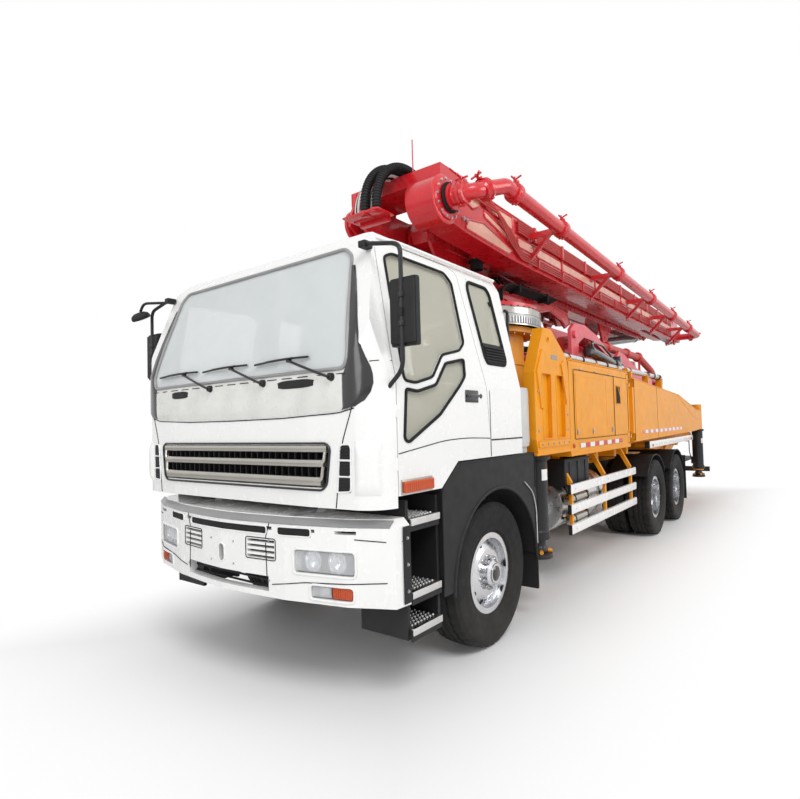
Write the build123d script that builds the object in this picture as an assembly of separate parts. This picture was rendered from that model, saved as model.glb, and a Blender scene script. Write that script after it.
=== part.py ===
from build123d import *
import os
from math import cos, radians, sin, sqrt

# Concrete pump truck with a folded four-section boom, in millimetres.
# While it is modelled, X = 0 is the front axle, +X is forward, +Y is the truck's left and Z = 0 is the ground.
# Each piece is moved on writing, so that the origin lies on the ground under the middle of the whole truck.

# Overall sizes
front_overhang = 1500
boom_rear_reach = 10100
truck_width = 2490
gap = 6

# Axles and wheels
wheelbase = 4700
bogie_spacing = 1370
tyre_radius = 530
tyre_width = 300
rim_radius = 292
rim_wall = 14
front_track = 2060
rear_track = 1850
twin_spacing = 342
hub_radius = 95
spindle_radius = 60
axle_tube_radius = 70
kingpin_radius = 24
kingpin_y = 800
steer_eye_height = 95

# Frame rails and subframe
rail_y = 430
rail_thickness = 80
rail_web = 10
rail_bottom = 740
rail_top = 1020
rail_front = 1180
rail_rear = -8640
subframe_top = 1300
deck_thickness = 50
deck_front = -665

# Cab
cab_front = 1400
cab_rear = -400
cab_floor = 1240
cab_arch_height = 1395
cab_belt = 1950
cab_roof = 2860
cab_roof_inset = 170
cab_skirt = 1175
cab_wall = 45
cab_corner = 190
window_corner = 30
screen_rake = 230
door_front = 1190
door_rear = 120
door_gap = 8
tilt_x = 1320
tilt_z = 850
tilt_arm_y = 560
tilt_arm_width = 70

# Bumper
bumper_bottom = 620
bumper_top = 1110
bumper_wall = 60
bumper_sweep = 330
bumper_edge = 40
lamp_y0 = 630
lamp_y1 = 1020
lamp_z0 = 790
lamp_z1 = 925
fog_y0 = 740
fog_y1 = 1010
fog_z0 = 650
fog_z1 = 725

# Slewing base
slew_x = -1950
ring_radius = 700
ring_bottom = 2670
ring_top = 2860
pedestal_radius = 500
wing_y = 230
wing_wall = 30

# Boom hinges: place of each axis
root_x = -950
root_z = 3580
rear_hinge_x = -9300
rear_hinge_z = 3580
front_hinge_x = -320
front_hinge_z = 3580
tip_hinge_x = -9945
tip_hinge_z = 3500

# Boom lanes: middle and half width of each arm across the truck
lane_1 = -10
half_1 = 140
lane_2 = -300
half_2 = 120
lane_3 = 485
half_3 = 135
lane_4 = 240
half_4 = 80
ear_wall = 33
ear_gap = 5
ear_radius = 155
neck_half = 135
crank_radius = 300
crank_angle = 30
bridge_low = 190
bridge_high = 315
bridge_back = -50
bridge_front = 400
throat = 600
arm_4_tip_x = -1600
pin_clearance = 0.3
slide_gap = 0.5
pin_radius = 55

# Boom sections: underside and top of each arm's box
box_bottom = 3345
box_top = 3835
box_top_rear = 3765
arm_2_bottom = 3370
arm_2_top = 3780
arm_4_bottom = 3400
arm_4_top = 3640

# Delivery pipe
pipe_radius = 68
coupling_radius = 92
coupling_width = 70
pipe_stand = 22
pipe_elbow = 110

# Boom cylinders
barrel_radius = 78
rod_radius = 42
eye_radius = 60
lift_lug_back = 3200
lift_lug_drop = 450
lift_base_x = -1300
lift_base_z = 3012
cylinder_2_back = 3100
cylinder_2_drop = 560
cylinder_3_back = 2500
cylinder_4_back = 2400

# Outriggers
beam_height = 300
beam_bottom = 1420
front_beam_width = 230
front_beam_x = (-850, -1150)
tower_front = -660
tower_rear = -1430
tower_bottom = 1360
tower_shoulder = 2240
tower_top = 2460
tower_wall = 100
front_jack_x = -900
jack_y = 1130
jack_tube_radius = 85
jack_rod_radius = 60
jack_foot_bottom = 460
jack_stroke = 450
box_front = -1450
box_rear = -3440
side_box_bottom = 1360
side_box_top = 2230
side_box_depth = 330
side_tube_radius = 32
side_tube_z = 2275
side_tube_y = 1150
swing_x = -3560
swing_y = 1130
swing_radius = 70
leg_rear = -8600
leg_half = 110

# Hopper and pump
hopper_front = -8700
hopper_rear = -9700
hopper_half = 720
hopper_bottom = 700
hopper_top = 1500
hopper_wall = 12
pump_radius = 120
pump_y = 150
pump_front = -4300

origin_shift = boom_rear_reach - (front_overhang + boom_rear_reach) / 2
rear_axle_1 = -wheelbase
rear_axle_2 = -wheelbase - bogie_spacing
half_width = truck_width / 2
crank_eye = (crank_radius * cos(radians(crank_angle)), -crank_radius * sin(radians(crank_angle)))
deck_top = subframe_top + deck_thickness

os.makedirs("parts", exist_ok=True)


def block(x0, x1, y0, y1, z0, z1):
    """Box between two corners."""
    size = (abs(x1 - x0), abs(y1 - y0), abs(z1 - z0))
    return Pos((x0 + x1) / 2, (y0 + y1) / 2, (z0 + z1) / 2) * Box(*size)


def side_plate(points, y0, y1):
    """Outline in X and Z, from y0 to y1."""
    face = Plane.XZ * make_face(Polyline(*points, close=True))
    return Pos(0, max(y0, y1), 0) * extrude(face, abs(y1 - y0))


def front_plate(points, x0, x1):
    """Outline in Y and Z, from x0 to x1."""
    face = Plane.YZ * make_face(Polyline(*points, close=True))
    return Pos(min(x0, x1), 0, 0) * extrude(face, abs(x1 - x0))


def top_plate(points, z0, z1):
    """Outline in X and Y, from z0 to z1."""
    face = Plane.XY * make_face(Polyline(*points, close=True))
    return Pos(0, 0, min(z0, z1)) * extrude(face, abs(z1 - z0))


def rod_x(x0, x1, y, z, r):
    return Pos((x0 + x1) / 2, y, z) * Rot(0, 90, 0) * Cylinder(r, abs(x1 - x0))


def rod_y(x, y0, y1, z, r):
    return Pos(x, (y0 + y1) / 2, z) * Rot(90, 0, 0) * Cylinder(r, abs(y1 - y0))


def rod_z(x, y, z0, z1, r):
    return Pos(x, y, (z0 + z1) / 2) * Cylinder(r, abs(z1 - z0))


def round_bar(start, end, r):
    """Round bar between two points."""
    path = Line(start, end)
    return sweep(Plane(origin=start, z_dir=path % 0) * Circle(r), path=path)


def mirrored(shape):
    return mirror(shape, Plane.XZ)


def both(shape):
    return shape + mirrored(shape)


def pipe(points, radius, bend):
    """Round bar along straight runs joined by bends."""
    path = FilletPolyline(*points, radius=bend)
    start = path.wires()[0] if hasattr(path, "wires") else path
    return sweep(Plane(origin=start @ 0, z_dir=start % 0) * Circle(radius), path=start)


def write(name, shape):
    """Writes one piece in the frame with its origin under the truck's middle."""
    pieces = shape if isinstance(shape, list) else [shape]
    solids = [Pos(origin_shift, 0, 0) * solid for piece in pieces for solid in piece.solids()]
    moved = solids[0] if len(solids) == 1 else Compound(solids)
    moved.label = name
    export_step(moved, f"parts/{name}.step")


# Wheels

def tyre(y_outer, side):
    """Tyre with a rounded tread edge and open bead, its outer wall at y_outer."""
    bulge = 22
    shoulder = 26
    inner = rim_radius
    half = tyre_width / 2
    profile = [
        (inner, -half + bulge + 20),
        (inner + 60, -half),
        (tyre_radius - shoulder - 30, -half),
        (tyre_radius, -half + shoulder + 12),
        (tyre_radius, half - shoulder - 12),
        (tyre_radius - shoulder - 30, half),
        (inner + 60, half),
        (inner, half - bulge - 20),
    ]
    ring = revolve(Plane.XY * make_face(Polyline(*profile, close=True)), Axis.Y)
    for offset in (-62, 0, 62):
        groove = revolve(Plane.XY * Pos(tyre_radius, offset) * Rectangle(24, 12), Axis.Y)
        ring = ring - groove
    return Pos(0, y_outer - side * half, 0) * ring


def rim(side, depth, disc_in, hole_count, hole_radius, capped=True):
    """Pressed wheel: barrel, disc with round hand holes, hub; the outer lip at y = 0, inside towards -side."""
    lip = rim_radius
    bore = spindle_radius + pin_clearance
    barrel_profile = [
        (lip - 40, 0),
        (lip, 0),
        (lip, -18),
        (lip - 18, -30),
        (lip - 18, -depth + 30),
        (lip, -depth + 18),
        (lip, -depth),
        (lip - 40, -depth),
        (lip - 18 - rim_wall, -depth + 40),
        (lip - 18 - rim_wall, -40),
    ]
    body = revolve(Plane.XY * make_face(Polyline(*barrel_profile, close=True)), Axis.Y)
    dish = [
        (hub_radius + 40, -disc_in + 18),
        (hub_radius + 75, -disc_in + 14),
        (lip - 24, -disc_in - 44),
        (lip - 24, -disc_in - 60),
        (hub_radius + 75, -disc_in - 2),
        (hub_radius + 40, -disc_in),
        (bore, -disc_in),
        (bore, -disc_in + 18),
    ]
    body = body + revolve(Plane.XY * make_face(Polyline(*dish, close=True)), Axis.Y)
    ring = lip - 74
    for index in range(hole_count):
        angle = radians(360 / hole_count * index)
        hole = rod_y(ring * cos(angle), -disc_in - 90, -disc_in + 40, ring * sin(angle), hole_radius)
        body = body - hole
    hub = revolve(
        Plane.XY
        * make_face(
            Polyline(
                (bore, -disc_in - 70),
                (hub_radius + 32, -disc_in - 70),
                (hub_radius + 32, -disc_in),
                (hub_radius, -disc_in + 18),
                (hub_radius, -disc_in + 60),
                (hub_radius - 18, -disc_in + 78),
                (bore, -disc_in + 78),
                close=True,
            )
        ),
        Axis.Y,
    )
    body = body + hub
    if capped:
        body = body + rod_y(0, -disc_in + 60, -disc_in + 84, 0, 70)
    if side < 0:
        body = mirrored(body)
    return body


front_outer = front_track / 2 + tyre_width / 2
front_lip = front_outer - 40
for side, tag in ((1, "l"), (-1, "r")):
    place = Pos(0, 0, tyre_radius)
    write(f"front_tyre_{tag}", place * tyre(side * front_outer, side))
    write(f"front_rim_{tag}", place * Pos(0, side * front_lip, 0) * rim(side, 228, 34, 10, 24))
    outer = rear_track / 2 + twin_spacing / 2 + tyre_width / 2
    inner = outer - twin_spacing
    for number, axle_x in ((1, rear_axle_1), (2, rear_axle_2)):
        at = Pos(axle_x, 0, tyre_radius)
        pair = tyre(side * outer, side) + tyre(side * inner, side)
        write(f"rear_tyres_{number}{tag}", at * pair)
        outer_rim = rim(side, 228, 150, 8, 26)
        inner_rim = Pos(0, -side * twin_spacing, 0) * rim(side, 228, 24, 8, 26, False)
        web = rod_y(0, -side * 215, -side * 300, 0, hub_radius + 30) - rod_y(
            0, -side * 160, -side * 400, 0, spindle_radius + pin_clearance
        )
        pair_rim = Pos(0, side * (outer - 36), 0) * (outer_rim + inner_rim + web)
        write(f"rear_rims_{number}{tag}", at * pair_rim)

# Axles

axle_z = tyre_radius
front_beam = [
    (-kingpin_y, axle_z + 40),
    (-kingpin_y + 140, axle_z + 30),
    (-430, axle_z - 60),
    (430, axle_z - 60),
    (kingpin_y - 140, axle_z + 30),
    (kingpin_y, axle_z + 40),
    (kingpin_y, axle_z - 40),
    (kingpin_y - 150, axle_z - 50),
    (400, axle_z - 150),
    (-400, axle_z - 150),
    (-kingpin_y + 150, axle_z - 50),
    (-kingpin_y, axle_z - 40),
]
axles = front_plate(front_beam, -60, 60)
for side in (1, -1):
    axles = axles + rod_z(0, side * kingpin_y, axle_z - 40, axle_z + 40, 60)
    axles = axles - rod_z(0, side * kingpin_y, axle_z - 100, axle_z + 100, kingpin_radius + pin_clearance)
    spring_y = side * (rail_y - rail_thickness / 2)
    leaf_low = axle_z - 60
    for leaf in range(4):
        reach = 720 - leaf * 130
        drop = leaf_low + 52 - leaf * 13
        leaf_plate = side_plate(
            [(-reach, drop + 92 * (reach / 720) ** 2), (0, drop), (reach, drop + 92 * (reach / 720) ** 2),
             (reach, drop + 13 + 92 * (reach / 720) ** 2), (0, drop + 13),
              (-reach, drop + 13 + 92 * (reach / 720) ** 2)],
            spring_y - 35, spring_y + 35)
        axles = axles + leaf_plate
    axles = axles + block(-70, 70, spring_y - 45, spring_y + 45, leaf_low - 10, leaf_low + 70)
    for end in (1, -1):
        eye_z = leaf_low + 52 + 92
        axles = axles + block(end * 690, end * 750, spring_y - 40, spring_y + 40, eye_z - 10, rail_bottom)
rear = None
for axle_x in (rear_axle_1, rear_axle_2):
    tube = rod_y(axle_x, -rear_track / 2 + 175, rear_track / 2 - 175, axle_z, axle_tube_radius)
    bowl = Pos(axle_x, 0, axle_z) * Sphere(205)
    spindle = rod_y(axle_x, -(outer - 150), outer - 150, axle_z, spindle_radius)
    nose = rod_x(axle_x, axle_x + 330, 0, axle_z + 20, 80)
    rear = tube + bowl + spindle + nose if rear is None else rear + tube + bowl + spindle + nose
bogie_x = (rear_axle_1 + rear_axle_2) / 2
for side in (1, -1):
    spring_y = side * 500
    for leaf in range(6):
        reach = bogie_spacing / 2 + 60 - leaf * 85
        top = axle_z + axle_tube_radius - 6 + leaf * 22
        rear = rear + block(bogie_x - reach, bogie_x + reach, spring_y - 45, spring_y + 45, top, top + 22)
    rear = rear + block(bogie_x - 110, bogie_x + 110, spring_y - 60, spring_y + 60, axle_z + 60, axle_z + 230)
    rear = rear + block(bogie_x - 90, bogie_x + 90, side * rail_y, side * 560, axle_z + 100, rail_bottom + 90)
write("axles", axles + rear)

for side, tag in ((1, "l"), (-1, "r")):
    y_pin = side * kingpin_y
    fork = block(-55, 55, y_pin - side * 55, y_pin + side * 95, axle_z + 46, axle_z + steer_eye_height)
    fork = fork + block(-55, 55, y_pin - side * 55, y_pin + side * 95, axle_z - steer_eye_height, axle_z - 46)
    fork = fork + block(
        -55, 55, y_pin + side * 66, y_pin + side * 95, axle_z - steer_eye_height, axle_z + steer_eye_height
    )
    fork = fork + rod_z(0, y_pin, axle_z - steer_eye_height, axle_z + steer_eye_height, kingpin_radius)
    fork = fork + rod_y(0, y_pin + side * 90, side * (front_lip - 34 + 50), axle_z, spindle_radius)
    fork = fork + side_plate(
        [(-45, axle_z - 90), (-200, axle_z - 80), (-200, axle_z - 50), (-45, axle_z - 48)],
        y_pin + side * 20, y_pin + side * 52)
    fork = fork + rod_y(0, y_pin + side * 92, y_pin + side * 104, axle_z, 150)
    write(f"knuckle_{tag}", fork)

# Chassis frame

frame = []
for side in (1, -1):
    web = block(rail_rear, rail_front, side * rail_y, side * (rail_y - rail_web), rail_bottom, rail_top)
    low = block(
        rail_rear, rail_front, side * rail_y, side * (rail_y - rail_thickness), rail_bottom,
        rail_bottom + rail_web
    )
    top = block(
        rail_rear, rail_front, side * rail_y, side * (rail_y - rail_thickness), rail_top - rail_web, rail_top
    )
    frame.append(web + low + top)
web_face = rail_y - rail_web
cross_places = (1000, -1560, -2300, -3000, -4000, bogie_x, -7000, -8000, rail_rear + 40)
for x in cross_places:
    frame.append(block(x - 40, x + 40, -web_face, web_face, rail_bottom + 60, rail_top - 60))
nose = block(rail_front, rail_front + 60, -rail_y, rail_y, rail_bottom, rail_top - 20)
tow = block(rail_front + 50, front_overhang - 90, -45, 45, 770, 850)
tow = tow - rod_z(front_overhang - 135, 0, 700, 900, 20)
nose = nose + tow
for side in (1, -1):
    nose = nose + block(
        rail_front - 60, rail_front + 60, side * rail_y, side * (rail_y + 50), rail_bottom, rail_top - 30
    )
    ear = side_plate(
        [(rail_front - 50, tilt_z - 60), (tilt_x + 45, tilt_z - 60), (tilt_x + 45, tilt_z + 45),
        (rail_front - 50, tilt_z + 45)],
        side * (rail_y + 30), side * (tilt_arm_y - tilt_arm_width / 2 - gap))
    nose = nose + ear + rod_y(
        tilt_x, side * (rail_y + 40), side * (tilt_arm_y + tilt_arm_width / 2 + 10), tilt_z, 26
    )
frame.append(nose)
guard = block(hopper_rear - 120, hopper_rear - 40, -1150, 1150, 470, 570)
for side in (1, -1):
    guard = guard + block(hopper_rear - 120, hopper_rear - 40, side * 560, side * 640, 500, rail_bottom + 60)
    guard = guard + block(
        hopper_rear - 120, rail_rear + 30, side * 740, side * 800, rail_bottom - 20, rail_bottom + 60
    )
    guard = guard + block(
        hopper_rear - 120, hopper_rear - 40, side * 560, side * 800, rail_bottom - 20, rail_bottom + 60
    )
    guard = guard + block(
        rail_rear, rail_rear + 80, side * rail_y, side * 800, rail_bottom - 20, rail_bottom + 60
    )
frame.append(guard)
write("chassis_frame", frame)

engine = block(
    -620, 760, -rail_y + 90, rail_y - 90, axle_z + 60, 1160
) + block(760, 770, -200, 200, 800, 1100)
for x in (-500, 250):
    engine = engine + block(x, x + 120, -web_face, web_face, 800, 870)
radiator = block(770, 850, -rail_y + 85, rail_y - 85, 640, 1160)
gearbox = rod_x(-1500, -620, 0, 880, 150)
carrier = block(-1200, -1080, -web_face, web_face, 800, 870) - gearbox
shaft = round_bar((-1490, 0, 745), (rear_axle_1 + 336, 0, axle_z + 40), 42) - gearbox
write("engine_block", [engine, radiator, gearbox, carrier, shaft])

# Mudguards: arches over the front wheels, flaps and rear wheel covers

arch_outer = 1232
arch_radius = tyre_radius + 95
guards = None
for side in (1, -1):
    arch = side_plate(
        [(-640, cab_arch_height - 300), (-640, cab_arch_height - gap - 2), (560, cab_arch_height - gap - 2),
         (750, cab_floor - gap - 2), (750, 560), (-640, 560)],
        side * 890, side * arch_outer)
    arch = arch - rod_y(0, side * 880, side * (arch_outer + 10), tyre_radius, arch_radius)
    arch = arch - side_plate(
        [(-arch_radius, 400), (-arch_radius, tyre_radius), (arch_radius, tyre_radius), (arch_radius, 400)],
        side * 880, side * 1300
    )
    hollow = side_plate(
        [(-600, cab_arch_height - 300), (-600, cab_arch_height - 60), (520, cab_arch_height - 60),
         (720, cab_floor - 60), (720, 500), (-600, 500)],
        side * 880, side * (arch_outer - 40))
    lining = rod_y(0, side * 880, side * 1300, tyre_radius, arch_radius + 16)
    arch = arch - (
        hollow - lining - block(-arch_radius - 16, arch_radius + 16, side * 870, side * 1310, 300,
        tyre_radius)
    )
    arch = arch + block(-652, -640, side * 880, side * arch_outer, 270, cab_arch_height - 300)
    arch = arch + block(-640, -600, side * rail_y, side * 900, 980, 1020)
    guards = arch if guards is None else guards + arch
    for axle_x in (rear_axle_1, rear_axle_2):
        cover = rod_y(axle_x, side * 730, side * half_width * 0.995, tyre_radius, tyre_radius + 75)
        cover = cover - rod_y(axle_x, side * 700, side * 1300, tyre_radius, tyre_radius + 65)
        cover = cover & block(axle_x - 640, axle_x + 640, side * 600, side * 1300, tyre_radius + 330, 1300)
        cover = cover + block(axle_x - 30, axle_x + 30, side * 440, side * 760, 1088, 1128)
        guards = guards + cover
    guards = guards + block(rear_axle_2 - 700, rear_axle_2 - 690, side * 740, side * 1235, 260, 1000)
    guards = guards + block(rear_axle_2 - 710, rear_axle_2 - 680, side * rail_y, side * 800, 900, 950)

# Steps under the doors

steps = None
for side in (1, -1):
    frame_side = block(760, 1080, side * 830, side * 850, 420, cab_floor - 40)
    for z, depth in ((430, 1228), (640, 1232), (1060, 1225)):
        frame_side = frame_side + block(780, 1080, side * 845, side * depth, z, z + 28)
        frame_side = frame_side + block(780, 1080, side * (depth - 14), side * depth, z - 40, z + 28)
    for x in (762, 1070):
        frame_side = frame_side + block(x, x + 26, side * 845, side * 1205, 400, cab_floor - 40)
    frame_side = frame_side + block(940, 1000, side * rail_y, side * 850, 860, 920)
    steps = frame_side if steps is None else steps + frame_side
write("mudguards", guards + steps)

# Bumper: swept shell with lamp pockets, grille slots and a tow slot

def bumper_outline(back):
    """Half plan of the bumper from the middle to its end, moved back."""
    face_x = front_overhang - back
    return [
        (face_x, 0), (face_x - 12, 220), (face_x - 50, 560), (face_x - 150, 980),
        (face_x - bumper_sweep + 60, half_width - back - 10), (face_x - bumper_sweep - 60, half_width - back),
    ]


outer_line = bumper_outline(0)
inner_line = bumper_outline(bumper_wall)
plan = outer_line + [(outer_line[-1][0], 0)]
inner_plan = inner_line + [(inner_line[-1][0] - 200, inner_line[-1][1]), (inner_line[-1][0] - 200, 0)]
edge_line = bumper_outline(bumper_edge)[:-1] + [(outer_line[-1][0], half_width - bumper_edge)]
edge_plan = edge_line + [(outer_line[-1][0], 0)]
shell_half = top_plate(plan, bumper_bottom, bumper_top - bumper_edge)
shell_half = shell_half + loft(
    [Plane.XY.offset(z) * make_face(Polyline(*points, close=True))
     for z, points in ((bumper_top - bumper_edge, plan), (bumper_top, edge_plan))], ruled=True)
shell_half = shell_half - top_plate(inner_plan, bumper_bottom - 10, bumper_top - 40)
shell_half = shell_half - block(0, inner_line[-1][0] + 60, 0, 1180, bumper_bottom - 10, bumper_top + 10)
pocket = block(1100, 1600, lamp_y0, lamp_y1, lamp_z0, lamp_z1)
fog_pocket = block(1100, 1600, fog_y0, fog_y1, fog_z0, fog_z1)
shell_half = shell_half - pocket - fog_pocket
for index in range(4):
    z = 850 + index * 32
    shell_half = shell_half - block(1300, 1600, 250, 480, z, z + 16)
for y in (330, 640, 900):
    shell_half = shell_half - block(1200, 1600, y, y + 130, 1026, 1046)
bumper = both(shell_half)
bumper = bumper - (Pos(1450, 0, 850) * Rot(0, 90, 0) * extrude(SlotOverall(120, 64), 200, both=True))
bumper = bumper - block(1300, 1600, -430, 430, 655, 745)
for side in (1, -1):
    bumper = bumper + block(rail_front + 60, front_overhang - 60, side * 250, side * 330, 870, 940)
    bumper = bumper - block(900, tilt_x + 70, side * (tilt_arm_y - 50), side * (tilt_arm_y + 50), 1000, 1200)
write("bumper", bumper)

# Lamps: head lamps, fog and turn lamps in the bumper, side markers, tail lamps

lamps = None
for side in (1, -1):
    front_x = front_overhang - 75
    lamp_plan = [
        (front_x - 30, lamp_y0), (front_x + 6, lamp_y0), (front_x - 92, lamp_y1), (front_x - 180, lamp_y1),
        (front_x - 180, lamp_y0)
    ]
    lens = top_plate(lamp_plan, lamp_z0, lamp_z1)
    fog_plan = [
        (front_x - 24, fog_y0), (front_x - 92, fog_y1), (front_x - 190, fog_y1), (front_x - 190, fog_y0)
    ]
    fog = top_plate(fog_plan, fog_z0, fog_z1)
    stay = block(front_x - 190, front_x - 150, fog_y0 + 10, fog_y1 - 30, fog_z0 + 20, lamp_z1 - 20)
    tail = block(hopper_rear - 150, hopper_rear - 120, 860, 1130, 480, 560)
    group = lens + fog + stay + tail
    group = group if side > 0 else mirrored(group)
    lamps = group if lamps is None else lamps + group
write("lamps", lamps)

# Tank with straps, behind the side rails, and the boxes on the other side

tank = None
tank_z = 790
for side in (1, -1):
    drum = rod_x(-1620, -2960, side * 790, tank_z, 270)
    for x in (-1820, -2740):
        drum = drum + (rod_x(x - 30, x + 30, side * 790, tank_z, 278))
        drum = drum + block(x - 30, x + 30, side * rail_y, side * 620, tank_z - 30, tank_z + 30)
    tank = drum if tank is None else tank + drum
tank = tank + block(-3040, -3560, 480, 760, 560, 960) + block(-3100, -3500, rail_y, 500, 800, 860)
write("tanks", tank)

rails = []
for side in (1, -1):
    for z in (560, 750, 940):
        rails.append(block(-1440, -3700, side * 1195, side * 1225, z, z + 90))
    for x in (-1560, -2570, -3600):
        rails.append(block(x - 25, x + 25, side * 1165, side * 1195, 540, subframe_top))
        rails.append(block(x - 25, x + 25, side * 1000, side * 1165, subframe_top - 50, subframe_top))
write("side_rails", rails)

# Subframe and deck

deck = []
deck_rear = hopper_front + 60
for side in (1, -1):
    deck.append(block(deck_front, deck_rear, side * 340, side * 440, rail_top, subframe_top))
for x in (-760, -1560, -2570, -2900, -3600, -4150, bogie_x, -6900, -8400):
    for side in (1, -1):
        deck.append(block(x - 45, x + 45, side * 440, side * 1000, subframe_top - 130, subframe_top))
for x in (-760, -2900):
    deck.append(block(x - 45, x + 45, -340, 340, subframe_top - 130, subframe_top))
pit_front = pump_front + 200
deck.append(block(deck_front, pit_front, -1010, 1010, subframe_top, deck_top))
for side in (1, -1):
    deck.append(block(pit_front, deck_rear, side * 300, side * 1010, subframe_top, deck_top))
sleeve_wall = 18
for beam_x in front_beam_x:
    x0 = beam_x - front_beam_width / 2 - slide_gap
    x1 = beam_x + front_beam_width / 2 + slide_gap
    z0 = beam_bottom - slide_gap
    z1 = beam_bottom + beam_height + slide_gap
    for low, high in ((z0 - sleeve_wall, z0), (z1, z1 + sleeve_wall)):
        deck.append(block(x0 - sleeve_wall, x1 + sleeve_wall, -1010, 1010, low, high))
    for low, high in ((x0 - sleeve_wall, x0), (x1, x1 + sleeve_wall)):
        deck.append(block(low, high, -1010, 1010, z0, z1))
    deck.append(block(x0, x1, -1000, 1000, deck_top, z0 - sleeve_wall))
write("deck", deck)

# Side boxes with a door outline, and the brackets that carry the rear outriggers

boxes = None
for side in (1, -1):
    inner_y = side * (half_width - side_box_depth)
    body = block(box_front, box_rear, inner_y, side * (half_width - 4), deck_top, side_box_top - 30)
    body = body + block(
        box_front, box_rear, side * 1042, side * (half_width - 4), side_box_bottom - 60, deck_top + 2
    )
    lid = front_plate(
        [(side * (half_width - side_box_depth + 10), side_box_top - 30),
         (side * (half_width - 4), side_box_top - 30),
         (side * (half_width - 20), side_box_top), (side * (half_width - side_box_depth + 10), side_box_top)],
        box_front, box_rear)
    body = body + lid
    panel = block(
        box_front - 160, box_front - 1120, side * (half_width - 10), side * half_width, side_box_bottom + 180,
        side_box_top - 130
    )
    panel = panel - block(
        box_front - 180, box_front - 1100, side * (half_width - 2), side * (half_width + 5),
        side_box_bottom + 200, side_box_top - 150
    )
    body = body + panel
    body = body + rod_x(box_front - 10, box_rear + 20, side * side_tube_y, side_tube_z, side_tube_radius)
    for x in (box_front - 200, box_front - 1000, box_rear + 200):
        body = body + block(
            x - 25, x + 25, side * (side_tube_y - 40), side * (side_tube_y + 40), side_box_top - 10,
            side_tube_z + 10
        )
    for x0, x1 in ((-4200, -4800), (-6600, -7200)):
        body = body + block(x0, x1, side * 640, side * 900, deck_top, deck_top + 430)
    for z in (1430, 2080):
        bracket = block(
            box_rear + 5, swing_x - 40, side * (swing_y - 90), side * (swing_y + 90), z - 25, z + 25
        )
        bracket = bracket + rod_z(swing_x, side * swing_y, z - 25, z + 25, 90)
        bracket = bracket - rod_z(swing_x, side * swing_y, z - 60, z + 60, 35 + pin_clearance)
        body = body + bracket
    boxes = body if boxes is None else boxes + body
write("side_boxes", boxes)

base_top = deck_top + 60
flange_low = ring_bottom - 60
column = rod_z(slew_x, 0, base_top, flange_low, pedestal_radius)
pedestal = [
    block(slew_x - 620, slew_x + 620, -700, 700, deck_top, base_top),
    column,
    rod_z(slew_x, 0, flange_low, ring_bottom, ring_radius - 60),
]
for angle in range(45, 360, 90):
    gusset = side_plate(
        [(pedestal_radius - 20, base_top), (700, base_top), (pedestal_radius - 20, 1900)], -12, 12
    )
    pedestal.append(Pos(slew_x, 0, 0) * Rot(0, 0, angle) * gusset - column)
ring = rod_z(slew_x, 0, ring_bottom, ring_top, ring_radius) - rod_z(
    slew_x, 0, ring_bottom + 40, ring_top + 5, ring_radius - 130
)
write("pedestal", pedestal)
write("slewing_ring", ring)

# Hopper with grate and agitator, pumping cylinders and deck pipe

def hopper_body(inset):
    """Tapered hopper, shrunk by inset on every side."""
    low = Plane.XY.offset(hopper_bottom + inset) * Pos((hopper_front - 210 + hopper_rear + 120) / 2, 0) * Rectangle(
        hopper_front - 210 - hopper_rear - 120 - 2 * inset, 620 - 2 * inset)
    high = Plane.XY.offset(hopper_top + (20 if inset else 0)) * Pos((hopper_front + hopper_rear) / 2, 0) * Rectangle(
        hopper_front - hopper_rear - 2 * inset, 2 * hopper_half - 2 * inset)
    return loft([low, high])


hopper = hopper_body(0) - hopper_body(hopper_wall)
rim_frame = block(
    hopper_rear - 30, hopper_front + 30, -hopper_half - 30, hopper_half + 30, hopper_top - 60, hopper_top
)
rim_frame = rim_frame - block(
    hopper_rear + 12, hopper_front - 12, -hopper_half + 12, hopper_half - 12, hopper_top - 70, hopper_top + 10
)
hopper = hopper + rim_frame
shaft_x = (hopper_front + hopper_rear) / 2
shaft_z = 1130
for side in (1, -1):
    hopper = hopper + rod_y(shaft_x, side * 480, side * 640, shaft_z, 70)
    hopper = hopper - rod_y(shaft_x, side * 400, side * 700, shaft_z, 30 + pin_clearance)
    hopper = hopper + block(hopper_front - 140, rail_rear, side * 352, side * (rail_y - 2), 800, 1000)
hopper = hopper + block(hopper_front - 160, hopper_front + 40, -430, 430, 980, 1240)
for side in (1, -1):
    hopper = hopper + block(
        hopper_rear - 30, hopper_rear - 60, side * 560, side * 620, hopper_top - 60, hopper_top + 40
    )
    hopper = hopper + rod_y(hopper_rear - 45, side * 500, side * 640, hopper_top + 30, 16)
hopper = hopper - hopper_body(hopper_wall)
write("hopper", hopper)

agitator = rod_y(shaft_x, -655, 655, shaft_z, 30)
for index, y in enumerate((-300, -100, 100, 300)):
    angle = 45 if index % 2 else 0
    paddle = Pos(shaft_x, y, shaft_z) * Rot(0, angle, 0) * (
        Box(34, 24, 430) + Pos(0, 0, 200) * Box(110, 24, 60) + Pos(0, 0, -200) * Box(110, 24, 60)
    )
    agitator = agitator + paddle
write("agitator", agitator)

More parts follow.
